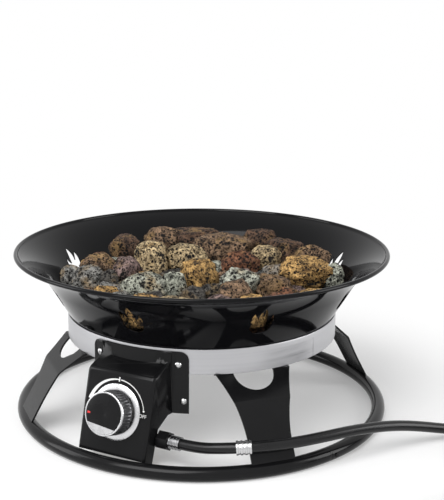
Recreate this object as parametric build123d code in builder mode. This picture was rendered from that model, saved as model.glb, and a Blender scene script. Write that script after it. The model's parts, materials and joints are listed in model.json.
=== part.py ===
from build123d import *
import math
import os

os.makedirs("parts", exist_ok=True)

# Portable propane fire pit, in millimetres, +Z up, standing on z = 0.
# Azimuths are in degrees from the front (-Y) towards +X.

# Fits
fit_gap = 0.1
running_gap = 0.05
rock_gap = 0.3
overrun = 6.0
sheet = 1.5

# Bowl
rim_radius = 266.7
rim_height = 239.2
bead_radius = 3.0
bowl_wall = 1.5
bowl_floor_height = 122.0
wall_foot_radius = 192.0
wall_foot_height = 150.2
flare_start_share = 0.5034
wall_slope_share = 0.7029
bowl_corner_radius = 22.0

# Flame cut-outs
flame_count = 8
flame_azimuth = 20.5
flame_width = 29.0
flame_height = 48.0
flame_drop = 3.0

# Support band
band_radius = 193.6
band_wall = 1.5
band_bottom = 116.5
band_height = 33.7

# Base ring
ring_radius = 259.7
ring_tube_radius = 9.5
ring_wall = 1.5
ring_seam_turn = -60.0
splice_azimuth = 41.0
splice_screw_radius = 1.5
splice_head_radius = 3.2
splice_head_height = 1.6

# Legs
leg_azimuth = 20.5
leg_plate = 2.5
leg_top_inset = 3.6
leg_knee_radius = 223.0
leg_knee_height = 88.0
leg_foot_outset = 1.3
leg_knee_bend = 14.0
leg_shoulder_half_width = 52.0
leg_waist_half_width = 37.2
leg_waist_height = 84.0
leg_ankle_half_width = 30.0
leg_ankle_height = 48.0
leg_notch_radius = 28.0
ear_wall = 2.4
ear_top = 143.5
ear_bottom = 114.5

# Brackets that hold the bowl down
bracket_width = 24.0
bracket_plate = 2.0
bracket_flange_share = 0.34
bracket_reach_radius = 139.0
bolt_circle_radius = 148.0
bolt_radius = 3.0
bolt_head_radius = 5.5
bolt_head_height = 4.0
nut_height = 4.8
bolt_hole_radius = bolt_radius + fit_gap

# Burner
burner_radius = 100.0
burner_tube_radius = 9.5
burner_tube_wall = 1.5
burner_rise = 18.0
burner_hub_radius = 12.0
burner_flange_radius = 19.0
burner_flange_plate = 2.0
burner_cross_radius = 9.0
locknut_width = 32.0
locknut_height = 6.0
mixer_drop = 30.0
mixer_bend = 16.0
mixer_reach = 46.0
mixer_bell_length = 16.0
mixer_bell_radius = 14.0
shutter_length = 17.0
shutter_wall = 1.0
shutter_window_width = 9.0
orifice_radius = 5.0
orifice_length = 16.0
orifice_bore_radius = 0.9
supply_radius = 4.0
supply_wall = 0.9
supply_bend = 12.0

# Valve housing
housing_azimuth = -28.6
panel_lean = 15.3
panel_reach = 38.4
panel_height = 69.4
panel_up = 51.0
panel_down = 55.5
panel_half_width = 50.5
panel_corner_radius = 11.0
housing_right_rear_width = 57.0
housing_left_rear_width = 46.0
housing_crease_height = 129.0
flange_left_azimuth = -47.3
flange_right_azimuth = -4.9
flange_bottom = 63.0
flange_top = 147.0
flange_corner_radius = 12.0
housing_screw_radius = 2.0
housing_screw_head_radius = 4.4
housing_screw_head_height = 2.4
housing_screw_length = 9.0
housing_nut_height = 3.2
upper_screw_height = 129.3
left_screw_azimuth = -44.1
right_screw_azimuth = -9.1
lower_screw_azimuth = -7.0
lower_screw_height = 79.8

# Valve, along its own axis out of the panel
valve_radius = 15.0
valve_front = 8.0
valve_back = 52.0
nose_radius = 7.5
nose_out = 5.0
outlet_radius = 6.5
outlet_length = 12.0
gas_way_radius = 2.6
plug_front_radius = 6.0
plug_back_radius = 5.0
plug_front = 14.0
plug_back = 38.0
plug_port_radius = 2.0
stem_radius = 4.0
stem_tail_radius = 3.0
stem_out = 26.0
stem_tail_length = 12.0
knob_travel = 3.0
spring_wire_radius = 0.45
spring_turns = 3
panel_nut_width = 22.0
panel_nut_height = 3.0
dial_radius = 36.7
dial_plate = 0.8
dial_rim_height = 3.0
dial_rim_width = 3.0

# Knob
knob_radius = 30.5
knob_face_radius = 28.0
knob_back = 7.0
knob_front = 28.3
knob_wall = 2.6
knob_hub_radius = 9.0
knob_hub_back = 13.0
knob_flute_count = 40
knob_flute_radius = 1.1
knob_cap_radius = 24.5
knob_cap_height = 1.2

# Hose and its fittings
hose_radius = 7.15
inlet_height = 36.0
inlet_pipe_radius = 6.0
inlet_bore_radius = 3.5
inlet_bend = 7.0
inlet_offset = 27.0
hose_nut_start = 54.5
hose_nut_length = 15.5
hose_nut_width = 22.0
ferrule_radius = 9.0
ferrule_length = 16.0
ferrule_grooves = 3
ferrule_groove_depth = 0.8
collar_radius = 9.4
collar_length = 19.5
collar_ridges = 4
collar_share = 0.165
floor_gap = 1.0

# Coil of stored hose
coil_mean_radius = 84.0
coil_half_turns = 4
coil_step = 14.9
tie_width = 7.0
tie_thickness = 0.6
tie_angle = 50.0
coil_steps = 48

# Route of the free hose, from the lead out of its ferrule to the coil's tangent
hose_lead = 26.0
hose_via = (
    (25.0, -251.0, 40.5),
    (56.0, -255.0, 43.5),
    (90.0, -250.5, 44.5),
    (124.0, -238.5, 44.0),
    (158.0, -222.5, 44.0),
    (193.0, -204.0, 43.5),
    (228.0, -186.0, 41.0),
    (262.0, -168.0, 35.5),
    (294.0, -152.5, 27.5),
    (324.0, -139.5, 19.0),
    (352.0, -128.0, 12.0),
    (386.0, -117.0, 8.6),
)
entry_lead = 22.0
entry_heading = 22.5
coil_place = (480.0, -185.6)
bend_reach_share = 0.45
tail_run = 24.0
tail_turn_share = 0.12

# Regulator and hand nut
regulator_radius = 31.0
regulator_body_height = 34.0
regulator_cover_height = 12.0
regulator_flange_radius = 34.0
regulator_flange_plate = 3.0
regulator_outlet_length = 9.0
regulator_vent_radius = 6.2
nipple_radius = 6.0
nipple_bore_radius = 2.5
nipple_length = 22.0
nipple_stop_radius = 9.0
nipple_stop_width = 4.0
tank_nut_radius = 22.0
tank_nut_length = 30.0
tank_nut_wall = 6.0
tank_thread_radius = 16.7
tank_relief_radius = 17.6
tank_relief_length = 8.0
tank_nut_grips = 16
tank_nut_grip_radius = 2.4

# Lava rocks
rock_bed_radius = 200.0
rock_size = 55.0
rock_edge_rise = 35.0
rock_crown_rise = 61.0
rock_wobble = 3.6
rock_wobble_step = 2.4
rock_size_swing_share = 0.1
rock_block_share = 1.3
rock_edge_share = 0.26
rock_faces = 6
rock_face_angle = 38.0
rock_face_swing = 14.0
lump_angle = 137.5
lower_rock_count = 15
lower_ring_share = 0.735


def outward(azimuth):
    turn = math.radians(azimuth)
    return Vector(math.sin(turn), -math.cos(turn), 0)


def sideways(azimuth):
    turn = math.radians(azimuth)
    return Vector(math.cos(turn), math.sin(turn), 0)


up = Vector(0, 0, 1)


def radial_plane(azimuth):
    return Plane(origin=(0, 0, 0), x_dir=outward(azimuth), z_dir=sideways(azimuth) * -1)


def facing_plane(azimuth, radius, height):
    middle = outward(azimuth) * radius + up * height
    return Plane(origin=middle, x_dir=sideways(azimuth), z_dir=outward(azimuth))


def outline(plane, points):
    with BuildSketch(plane) as face:
        with BuildLine():
            Polyline(*points, close=True)
        make_face()
    return face.sketch


def disc(plane, radius, inner=0):
    with BuildSketch(plane) as face:
        Circle(radius)
        if inner > 0:
            Circle(inner, mode=Mode.SUBTRACT)
    return face.sketch


def hexagon(plane, across_flats, inner):
    with BuildSketch(plane) as face:
        RegularPolygon(across_flats / 2, 6, major_radius=False)
        Circle(inner, mode=Mode.SUBTRACT)
    return face.sketch


def keep(part, name):
    part.label = name
    export_step(part, f"parts/{name}.step")


# Bowl: one spun sheet with a rolled rim
wall_slope = wall_slope_share * (rim_radius - wall_foot_radius) / (rim_height - wall_foot_height)
lean = math.atan(wall_slope)
wall_rise = (rim_height - wall_foot_height) * flare_start_share
flare_start_height = wall_foot_height + wall_rise
flare_start = (wall_foot_radius + wall_rise * math.tan(lean), flare_start_height)
foot_drop = wall_foot_height - bowl_floor_height
floor_corner = (wall_foot_radius - foot_drop * math.tan(lean), bowl_floor_height)
bead_centre = (rim_radius - bead_radius, rim_height - bead_radius)
bowl_inner_floor = bowl_floor_height + bowl_wall


def wall_radius(height):
    return wall_foot_radius + (height - wall_foot_height) * math.tan(lean)


flame_mid_height = flare_start_height - flame_drop
flame_plane_radius = wall_radius(flame_mid_height)

# Half-width and height shares of the flame outline: end point, then a point that the arc passes
flame_shares = (
    ((1.00, 0.34), (0.72, 0.08)),
    ((0.86, 0.72), (1.06, 0.55)),
    ((0.44, 0.46), (0.72, 0.55)),
    ((0.02, 1.00), (0.34, 0.74)),
    ((-0.36, 0.52), (-0.34, 0.78)),
    ((-0.88, 0.80), (-0.56, 0.64)),
    ((-1.00, 0.36), (-1.08, 0.58)),
    ((0.00, 0.00), (-0.72, 0.08)),
)

def flame_point(side_share, height_share):
    return (side_share * flame_width / 2, (height_share - 0.5) * flame_height)


with BuildPart() as bowl:
    with BuildSketch(Plane.XZ):
        with BuildLine() as bowl_run:
            FilletPolyline((0, bowl_floor_height), floor_corner, flare_start, radius=bowl_corner_radius)
            TangentArc(flare_start, bead_centre, tangent=(math.sin(lean), math.cos(lean)))
            offset(amount=bowl_wall, side=Side.LEFT)
        make_face()
    revolve(axis=Axis.Z)
    with BuildSketch(Plane.XZ):
        with Locations(bead_centre):
            Circle(bead_radius)
    revolve(axis=Axis.Z)
    for index in range(flame_count):
        azimuth = flame_azimuth + index * 360 / flame_count
        normal = outward(azimuth) * math.cos(lean) - up * math.sin(lean)
        middle = outward(azimuth) * flame_plane_radius + up * flame_mid_height
        with BuildSketch(Plane(origin=middle, x_dir=sideways(azimuth), z_dir=normal)):
            with BuildLine():
                start = (0, -flame_height / 2)
                for end_shares, through_shares in flame_shares:
                    end = flame_point(*end_shares)
                    through = flame_point(*through_shares)
                    ThreePointArc(start, through, end)
                    start = end
            make_face()
        extrude(amount=overrun * 2, both=True, mode=Mode.SUBTRACT)
    with BuildSketch(Plane.XY.offset(bowl_floor_height)):
        Circle(burner_hub_radius + fit_gap)
        with PolarLocations(bolt_circle_radius, 4, start_angle=leg_azimuth):
            Circle(bolt_hole_radius)
    extrude(amount=overrun, both=True, mode=Mode.SUBTRACT)
keep(bowl.part, "bowl")

# Support band: rolled strip that the bowl sits in
screw_places = (
    (left_screw_azimuth, upper_screw_height),
    (right_screw_azimuth, upper_screw_height),
    (lower_screw_azimuth, lower_screw_height),
)
with BuildPart() as support_band:
    extrude(disc(Plane.XY.offset(band_bottom), band_radius, band_radius - band_wall), amount=band_height)
    for azimuth, height in screw_places:
        hole = disc(facing_plane(azimuth, band_radius, height), housing_screw_radius + fit_gap)
        extrude(hole, amount=overrun, both=True, mode=Mode.SUBTRACT)
keep(support_band.part, "support_band")

# Base ring: bent tube with one splice
splice_plane = facing_plane(splice_azimuth, ring_radius + ring_tube_radius, ring_tube_radius)
with BuildPart() as base_ring:
    with BuildSketch(Plane.XZ):
        with Locations(Location((ring_radius, ring_tube_radius, 0), (0, 0, ring_seam_turn))):
            Circle(ring_tube_radius)
            Circle(ring_tube_radius - ring_wall, mode=Mode.SUBTRACT)
    revolve(axis=Axis.Z)
    extrude(disc(splice_plane, splice_screw_radius + fit_gap), amount=-overrun, mode=Mode.SUBTRACT)
keep(base_ring.part, "base_ring")

# Screw that closes the ring's splice
with BuildPart() as ring_screw:
    extrude(disc(splice_plane, splice_head_radius), amount=splice_head_height)
    head_face = ring_screw.faces().sort_by(Axis((0, 0, 0), outward(splice_azimuth)))[-1]
    fillet(head_face.edges(), splice_head_height / 2)
    extrude(disc(splice_plane, splice_screw_radius), amount=-overrun)
keep(ring_screw.part, "ring_screw")

# Legs: pressed plates with a knee, a notch and two ears welded inside the band
leg_foot_height = ring_tube_radius * 2 + fit_gap * 2
leg_top_radius = band_radius - leg_top_inset
leg_top = Vector(leg_top_radius, band_bottom)
leg_knee = Vector(leg_knee_radius, leg_knee_height)
leg_foot = Vector(ring_radius + leg_foot_outset, leg_foot_height)
upper_run = (leg_knee - leg_top).normalized()
lower_run = (leg_foot - leg_knee).normalized()
upper_inward = Vector(upper_run.Y, -upper_run.X)
lower_inward = Vector(lower_run.Y, -lower_run.X)
band_inner = band_radius - band_wall
leg_head = leg_top - upper_run * (band_inner - math.sqrt(band_inner**2 - leg_shoulder_half_width**2))
knee_spread = (upper_inward + lower_inward) * (1 / (1 + upper_inward.dot(lower_inward)))
inner_knee = leg_knee + knee_spread * leg_plate
inner_head = leg_head + upper_inward * leg_plate
inner_foot_slide = leg_foot_height - inner_knee.Y
inner_foot = Vector(inner_knee.X + lower_run.X / lower_run.Y * inner_foot_slide, leg_foot_height)

with BuildPart() as leg:
    with BuildSketch(radial_plane(0)) as leg_side:
        with BuildLine():
            Polyline(leg_head, leg_knee, leg_foot, inner_foot, inner_knee, inner_head, close=True)
        make_face()
        outer_corner = leg_side.vertices().sort_by_distance((leg_knee.X, leg_knee.Y))[0]
        fillet(outer_corner, leg_knee_bend)
        inner_corner = leg_side.vertices().sort_by_distance((inner_knee.X, inner_knee.Y))[0]
        fillet(inner_corner, leg_knee_bend + leg_plate)
    extrude(amount=leg_shoulder_half_width, both=True)
    with BuildSketch(facing_plane(0, 0, 0)):
        with BuildLine():
            Polyline(
                (0, rim_height),
                (leg_shoulder_half_width, rim_height),
                (leg_shoulder_half_width, band_bottom),
            )
            ThreePointArc(
                (leg_shoulder_half_width, band_bottom),
                (leg_waist_half_width, leg_waist_height),
                (leg_ankle_half_width, leg_ankle_height),
            )
            Polyline((leg_ankle_half_width, leg_ankle_height), (leg_ankle_half_width, 0), (0, 0))
            mirror(about=Plane.YZ)
        make_face()
    extrude(amount=rim_radius, mode=Mode.INTERSECT)
    slope_normal = Vector(0, upper_inward.X, -upper_inward.Y)
    notch_plane = Plane(origin=(0, -leg_top_radius, band_bottom), x_dir=(1, 0, 0), z_dir=slope_normal)
    with BuildSketch(notch_plane):
        Circle(leg_notch_radius)
        Rectangle(leg_notch_radius * 2, leg_notch_radius * 2, align=(Align.CENTER, Align.MIN))
    extrude(amount=overrun * 2, both=True, mode=Mode.SUBTRACT)
    with BuildSketch(Plane.XY.offset(band_bottom - fit_gap)):
        Circle(rim_radius)
        Circle(band_inner - fit_gap * 2, mode=Mode.SUBTRACT)
    extrude(amount=band_height, mode=Mode.SUBTRACT)
    with BuildSketch(Plane.XY.offset(ear_bottom)):
        Circle(band_inner - fit_gap)
        Circle(band_inner - fit_gap - ear_wall, mode=Mode.SUBTRACT)
        with Locations((0, -band_inner)):
            Rectangle(leg_shoulder_half_width * 2, band_inner, mode=Mode.INTERSECT)
            Rectangle(leg_notch_radius * 2, band_inner, mode=Mode.SUBTRACT)
    extrude(amount=ear_top - ear_bottom)

leg_names = ("leg_front", "leg_right", "leg_rear", "leg_left")
for quarter, name in enumerate(leg_names):
    keep(leg.part.rotate(Axis.Z, leg_azimuth + quarter * 90), name)

# Bowl brackets, bolts and nuts
bracket_top = bowl_floor_height - fit_gap * 3
bracket_outer = math.sqrt((band_inner - fit_gap) ** 2 - (bracket_width / 2) ** 2)
bracket_limit = wall_foot_height - (wall_foot_radius - bracket_outer + bracket_plate) / wall_slope
bracket_flange_top = bracket_top + (bracket_limit - bracket_top) * bracket_flange_share
with BuildPart() as bowl_brackets:
    for quarter in range(4):
        azimuth = leg_azimuth + quarter * 90
        points = (
            (bracket_reach_radius, bracket_top - bracket_plate),
            (bracket_outer, bracket_top - bracket_plate),
            (bracket_outer, bracket_flange_top),
            (bracket_outer - bracket_plate, bracket_flange_top),
            (bracket_outer - bracket_plate, bracket_top),
            (bracket_reach_radius, bracket_top),
        )
        extrude(outline(radial_plane(azimuth), points), amount=bracket_width / 2, both=True)
    with BuildSketch(Plane.XY.offset(bracket_top)):
        with PolarLocations(bolt_circle_radius, 4, start_angle=leg_azimuth):
            Circle(bolt_hole_radius)
    extrude(amount=-overrun, mode=Mode.SUBTRACT)
keep(bowl_brackets.part, "bowl_brackets")

bolt_shank = bowl_inner_floor - bracket_top + bracket_plate + nut_height + fit_gap * 4
with BuildPart() as bowl_bolts:
    with BuildSketch(Plane.XY.offset(bowl_inner_floor + fit_gap)):
        with PolarLocations(bolt_circle_radius, 4, start_angle=leg_azimuth):
            RegularPolygon(bolt_head_radius, 6)
    extrude(amount=bolt_head_height)
    with BuildSketch(Plane.XY.offset(bowl_inner_floor + fit_gap)):
        with PolarLocations(bolt_circle_radius, 4, start_angle=leg_azimuth):
            Circle(bolt_radius)
    extrude(amount=-bolt_shank)
keep(bowl_bolts.part, "bowl_bolts")

with BuildPart() as bowl_nuts:
    with BuildSketch(Plane.XY.offset(bracket_top - bracket_plate - fit_gap)):
        with PolarLocations(bolt_circle_radius, 4, start_angle=leg_azimuth):
            RegularPolygon(bolt_head_radius, 6)
            Circle(bolt_radius + running_gap, mode=Mode.SUBTRACT)
    extrude(amount=-nut_height)
keep(bowl_nuts.part, "bowl_nuts")

# Burner: ring tube, cross tube and a threaded hub through the bowl's floor
hub_bore = burner_hub_radius - burner_tube_wall * 2
burner_height = bowl_floor_height + burner_rise
hub_foot = bowl_floor_height - locknut_height - overrun
with BuildPart() as burner_ring:
    with BuildSketch(Plane.XZ):
        with Locations(Location((burner_radius, burner_height, 0), (0, 0, ring_seam_turn))):
            Circle(burner_tube_radius)
    revolve(axis=Axis.Z)
    cross_plane = Plane(origin=(0, 0, burner_height), x_dir=up, z_dir=outward(housing_azimuth))
    extrude(disc(cross_plane, burner_cross_radius), amount=burner_radius, both=True)
    extrude(disc(Plane.XY.offset(hub_foot), burner_hub_radius), amount=burner_height - hub_foot)
    flange_plane = Plane.XY.offset(bowl_inner_floor + fit_gap)
    extrude(disc(flange_plane, burner_flange_radius), amount=burner_flange_plate)
    hub_depth = burner_height - burner_tube_wall - hub_foot
    extrude(disc(Plane.XY.offset(hub_foot), hub_bore), amount=hub_depth, mode=Mode.SUBTRACT)
keep(burner_ring.part, "burner_ring")

locknut_top = bowl_floor_height - fit_gap
with BuildPart() as burner_locknut:
    nut_face = hexagon(Plane.XY.offset(locknut_top), locknut_width, burner_hub_radius + running_gap)
    extrude(nut_face, amount=-locknut_height)
keep(burner_locknut.part, "burner_locknut")

# Mixer: elbow under the hub that opens into a bell towards the valve
mixer_direction = outward(housing_azimuth)
mixer_height = hub_foot - mixer_drop
mixer_turn = up * mixer_height
mixer_top = up * (hub_foot - fit_gap)
mixer_end = mixer_turn + mixer_direction * mixer_reach
with BuildPart() as mixer_tube:
    with BuildLine() as mixer_run:
        FilletPolyline(mixer_top, mixer_turn, mixer_end, radius=mixer_bend)
    sweep(disc(Plane(origin=mixer_top, z_dir=up * -1), burner_hub_radius), path=mixer_run.line)
    bell_plane = radial_plane(housing_azimuth)
    bell_end = mixer_reach + mixer_bell_length
    bell_points = (
        (mixer_reach, mixer_height),
        (mixer_reach, mixer_height + burner_hub_radius),
        (bell_end, mixer_height + mixer_bell_radius),
        (bell_end, mixer_height),
    )
    mixer_axis = Axis(mixer_turn, mixer_direction)
    revolve(outline(bell_plane, bell_points), axis=mixer_axis)
    sweep(disc(Plane(origin=mixer_top, z_dir=up * -1), hub_bore), path=mixer_run.line, mode=Mode.SUBTRACT)
    bell_inside = (
        (mixer_reach, mixer_height),
        (mixer_reach, mixer_height + hub_bore),
        (bell_end, mixer_height + mixer_bell_radius - burner_tube_wall),
        (bell_end, mixer_height),
    )
    revolve(outline(bell_plane, bell_inside), axis=mixer_axis, mode=Mode.SUBTRACT)
keep(mixer_tube.part, "mixer_tube")

# Air shutter: short sleeve with windows between the bell and the gas jet
shutter_start = bell_end + fit_gap
shutter_plane = Plane(origin=mixer_turn + mixer_direction * shutter_start, x_dir=up, z_dir=mixer_direction)
shutter_back = Plane(
    origin=mixer_turn + mixer_direction * (shutter_start + shutter_length - shutter_wall),
    x_dir=up,
    z_dir=mixer_direction,
)
with BuildPart() as air_shutter:
    extrude(disc(shutter_plane, mixer_bell_radius, mixer_bell_radius - shutter_wall), amount=shutter_length)
    extrude(disc(shutter_back, mixer_bell_radius, orifice_radius + running_gap), amount=shutter_wall)
    window_length = shutter_length - shutter_wall * 6
    for turn in (0, 90):
        window_plane = Plane(origin=shutter_plane.origin, x_dir=mixer_direction, z_dir=up)
        with BuildSketch(window_plane.rotated((turn, 0, 0))):
            with Locations((shutter_wall * 3 + window_length / 2, 0)):
                Rectangle(window_length, shutter_window_width)
        extrude(amount=mixer_bell_radius + overrun, both=True, mode=Mode.SUBTRACT)
keep(air_shutter.part, "air_shutter")

# Gas jet through the shutter's back plate
jet_start = shutter_start + shutter_length - orifice_length / 2
jet_plane = Plane(origin=mixer_turn + mixer_direction * jet_start, x_dir=up, z_dir=mixer_direction)
jet_end = jet_start + orifice_length
jet_socket = orifice_length / 2
jet_back = Plane(origin=mixer_turn + mixer_direction * jet_end, x_dir=up, z_dir=mixer_direction)
with BuildPart() as gas_orifice:
    extrude(disc(jet_plane, orifice_radius, orifice_bore_radius), amount=orifice_length)
    extrude(disc(jet_back, supply_radius + running_gap), amount=-jet_socket, mode=Mode.SUBTRACT)
keep(gas_orifice.part, "gas_orifice")

# Valve axis: out of the panel, leaning back
tilt = math.radians(panel_lean)
axis_out = outward(housing_azimuth) * math.cos(tilt) + up * math.sin(tilt)
axis_up = up * math.cos(tilt) - outward(housing_azimuth) * math.sin(tilt)
across = sideways(housing_azimuth)
panel_radius = band_radius + panel_reach
panel_middle = outward(housing_azimuth) * panel_radius + up * panel_height
valve_axis = Axis(panel_middle, axis_out)
valve_section = Plane(origin=panel_middle, x_dir=across, z_dir=axis_up * -1)


def valve_plane(distance):
    return Plane(origin=panel_middle + axis_out * distance, x_dir=across, z_dir=axis_out)


outlet_back = valve_back + outlet_length
with BuildPart() as valve_body:
    body_points = (
        (0, -outlet_back),
        (outlet_radius, -outlet_back),
        (outlet_radius, -valve_back),
        (valve_radius, -valve_back),
        (valve_radius, -valve_front),
        (nose_radius, -valve_front),
        (nose_radius, nose_out),
        (0, nose_out),
    )
    revolve(outline(valve_section, body_points), axis=valve_axis)
    bore_points = (
        (0, nose_out),
        (stem_radius + running_gap, nose_out),
        (stem_radius + running_gap, -plug_front + running_gap),
        (plug_front_radius + running_gap, -plug_front + running_gap),
        (plug_back_radius + running_gap, -plug_back - running_gap),
        (gas_way_radius, -plug_back - running_gap),
        (gas_way_radius, -outlet_back + outlet_length / 2),
        (supply_radius + running_gap, -outlet_back + outlet_length / 2),
        (supply_radius + running_gap, -outlet_back),
        (0, -outlet_back),
    )
    revolve(outline(valve_section, bore_points), axis=valve_axis, mode=Mode.SUBTRACT)
    inlet_port = Plane(origin=panel_middle - axis_out * inlet_offset, x_dir=across, z_dir=axis_up * -1)
    extrude(disc(inlet_port, inlet_bore_radius), amount=valve_radius + overrun, mode=Mode.SUBTRACT)
keep(valve_body.part, "valve_body")

# Supply tube: from the valve's outlet to the gas jet
supply_start = panel_middle - axis_out * (outlet_back - outlet_length / 2 + fit_gap)
supply_lead = outlet_length + supply_bend * 2
supply_end = mixer_turn + mixer_direction * (jet_end - jet_socket + fit_gap)
supply_run = [
    supply_start,
    supply_start - axis_out * supply_lead,
    supply_end + mixer_direction * (orifice_length + supply_bend * 2),
    supply_end,
]
with BuildPart() as supply_tube:
    with BuildLine() as supply_line:
        FilletPolyline(*supply_run, radius=supply_bend)
    supply_plane = Plane(origin=supply_start, z_dir=axis_out * -1)
    sweep(disc(supply_plane, supply_radius, supply_radius - supply_wall), path=supply_line.wires()[0])
keep(supply_tube.part, "supply_tube")

# Tapered plug that the knob turns inside the valve
with BuildPart() as valve_plug:
    plug_points = (
        (0, -plug_front),
        (plug_front_radius, -plug_front),
        (plug_back_radius, -plug_back),
        (0, -plug_back),
    )
    revolve(outline(valve_section, plug_points), axis=valve_axis)
    socket_depth = stem_tail_length + knob_travel
    socket = disc(valve_plane(-plug_front), stem_tail_radius + running_gap)
    extrude(socket, amount=-socket_depth, mode=Mode.SUBTRACT)
    port_middle = panel_middle - axis_out * (plug_back - plug_back_radius)
    port = Plane(origin=port_middle, x_dir=across, z_dir=axis_up)
    extrude(disc(port, plug_port_radius), amount=plug_front_radius + overrun, both=True, mode=Mode.SUBTRACT)
keep(valve_plug.part, "valve_plug")

# Stem that slides in the plug and carries the knob
stem_shoulder = plug_front - knob_travel - running_gap * 10
with BuildPart() as valve_stem:
    tail_length = plug_front - stem_shoulder + stem_tail_length
    extrude(disc(valve_plane(-stem_shoulder), stem_radius), amount=stem_shoulder + stem_out)
    extrude(disc(valve_plane(-stem_shoulder), stem_tail_radius), amount=-tail_length)
keep(valve_stem.part, "valve_stem")

# Return spring between the valve's nose and the knob's hub
spring_radius = nose_radius - spring_wire_radius * 3
spring_height = knob_hub_back - nose_out - spring_wire_radius * 2 - fit_gap * 2
spring_foot = panel_middle + axis_out * (nose_out + spring_wire_radius + fit_gap)
with BuildPart() as stem_spring:
    with BuildLine() as spring_run:
        pitch = spring_height / spring_turns
        Helix(pitch, spring_height, spring_radius, center=spring_foot, direction=axis_out)
    sweep(disc(Plane(origin=spring_run.line @ 0, z_dir=spring_run.line % 0), spring_wire_radius))
keep(stem_spring.part, "stem_spring")

# Nut that holds the valve in the panel
with BuildPart() as valve_nut:
    nut_plane = valve_plane(dial_plate + fit_gap * 2)
    extrude(hexagon(nut_plane, panel_nut_width, nose_radius + running_gap), amount=panel_nut_height)
keep(valve_nut.part, "valve_nut")

# Dial: dished plate with a raised rim
with BuildPart() as dial_bezel:
    dial_points = (
        (nose_radius + fit_gap, fit_gap),
        (dial_radius, fit_gap),
        (dial_radius, dial_rim_height),
        (dial_radius - dial_rim_width / 2, dial_rim_height),
        (dial_radius - dial_rim_width, dial_plate + fit_gap),
        (nose_radius + fit_gap, dial_plate + fit_gap),
    )
    revolve(outline(valve_section, dial_points), axis=valve_axis)
keep(dial_bezel.part, "dial_bezel")

# Knob: hollow turned shell with a fluted edge and a hub on the stem
with BuildPart() as control_knob:
    knob_points = (
        (stem_radius + running_gap, knob_hub_back),
        (knob_hub_radius, knob_hub_back),
        (knob_hub_radius, knob_front - knob_wall * 2),
        (knob_face_radius - knob_wall, knob_front - knob_wall * 2),
        (knob_radius - knob_wall, knob_back),
        (knob_radius, knob_back),
        (knob_face_radius, knob_front),
        (knob_cap_radius + fit_gap, knob_front),
        (knob_cap_radius + fit_gap, knob_front - knob_cap_height),
        (stem_radius + running_gap, knob_front - knob_cap_height),
    )
    revolve(outline(valve_section, knob_points), axis=valve_axis)
    with BuildSketch(valve_plane(knob_back + knob_wall)):
        with PolarLocations(knob_radius + knob_flute_radius / 2, knob_flute_count):
            Circle(knob_flute_radius)
    extrude(amount=knob_front - knob_back - knob_wall * 2, mode=Mode.SUBTRACT)
keep(control_knob.part, "control_knob")

with BuildPart() as knob_cap:
    cap_back = knob_front - knob_cap_height + fit_gap
    extrude(disc(valve_plane(cap_back), knob_cap_radius), amount=knob_cap_height)
keep(knob_cap.part, "knob_cap")

# Valve housing: leaning panel, drafted sides and a flange bent to the band
housing_side = radial_plane(housing_azimuth)
panel_line = Vector(-math.sin(tilt), math.cos(tilt))
panel_normal = Vector(math.cos(tilt), math.sin(tilt))
panel_point = Vector(panel_radius, panel_height)
panel_top = panel_point + panel_line * panel_up
panel_foot = panel_point - panel_line * panel_down
flange_inner = band_radius + fit_gap
flange_outer = flange_inner + sheet
roof_slope = (panel_top.Y - housing_crease_height) / (panel_top.X - flange_outer)
roof_rear_radius = flange_outer - overrun * 4
roof_rear = Vector(roof_rear_radius, housing_crease_height + roof_slope * (roof_rear_radius - flange_outer))
roof_line = (panel_top - roof_rear).normalized()
roof_normal = Vector(-roof_line.Y, roof_line.X)
roof_spread = (panel_normal + roof_normal) * (1 / (1 + panel_normal.dot(roof_normal)))
inner_top = panel_top - roof_spread * sheet
inner_rear = roof_rear - roof_normal * sheet - roof_line * overrun

# Shares of the panel's lower length, back from its foot, and of its top height: the side panel's rear edge
rear_edge_shares = ((0.5545, 0.425), (0.4292, 0.253), (0.2867, 0.059))
rear_edge = [
    (panel_foot.X - back_share * panel_down, height_share * panel_top.Y)
    for back_share, height_share in rear_edge_shares
]


def housing_form(side_points, top_corner, corner_radius, inset, reach):
    draft_depth = (panel_radius - band_radius) / math.cos(tilt)
    right_draft = (housing_right_rear_width - panel_half_width) / draft_depth
    left_draft = (housing_left_rear_width - panel_half_width) / draft_depth
    front_right = panel_half_width - inset + right_draft * inset
    front_left = panel_half_width - inset + left_draft * inset
    rear_right = front_right + right_draft * reach
    rear_left = front_left + left_draft * reach
    with BuildPart() as form:
        with BuildSketch(housing_side) as side:
            with BuildLine():
                Polyline(*side_points, close=True)
            make_face()
            fillet(side.vertices().sort_by_distance((top_corner.X, top_corner.Y))[0], corner_radius)
        extrude(amount=rear_right + overrun, both=True)
        with BuildSketch(valve_section) as plan:
            with BuildLine():
                Polyline(
                    (-front_left, -inset),
                    (front_right, -inset),
                    (rear_right, -reach - inset),
                    (-rear_left, -reach - inset),
                    close=True,
                )
            make_face()
            fillet(plan.vertices().group_by(Axis(panel_middle, axis_out))[-1], corner_radius)
        extrude(amount=rim_height, both=True, mode=Mode.INTERSECT)
    return form.part


housing_reach = panel_radius - roof_rear_radius + overrun * 3
outer_points = [panel_foot, panel_top, roof_rear]
outer_points += [(roof_rear_radius, flange_bottom), (flange_outer, flange_bottom)]
outer_points += rear_edge
inner_foot_point = panel_foot - panel_line * overrun * 3 - panel_normal * sheet
inner_points = [inner_foot_point, inner_top, inner_rear, (inner_rear.X, inner_foot_point.Y)]
housing_outer = housing_form(outer_points, panel_top, panel_corner_radius, 0, housing_reach)
housing_inner = housing_form(inner_points, inner_top, panel_corner_radius - sheet, sheet, housing_reach)

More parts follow.
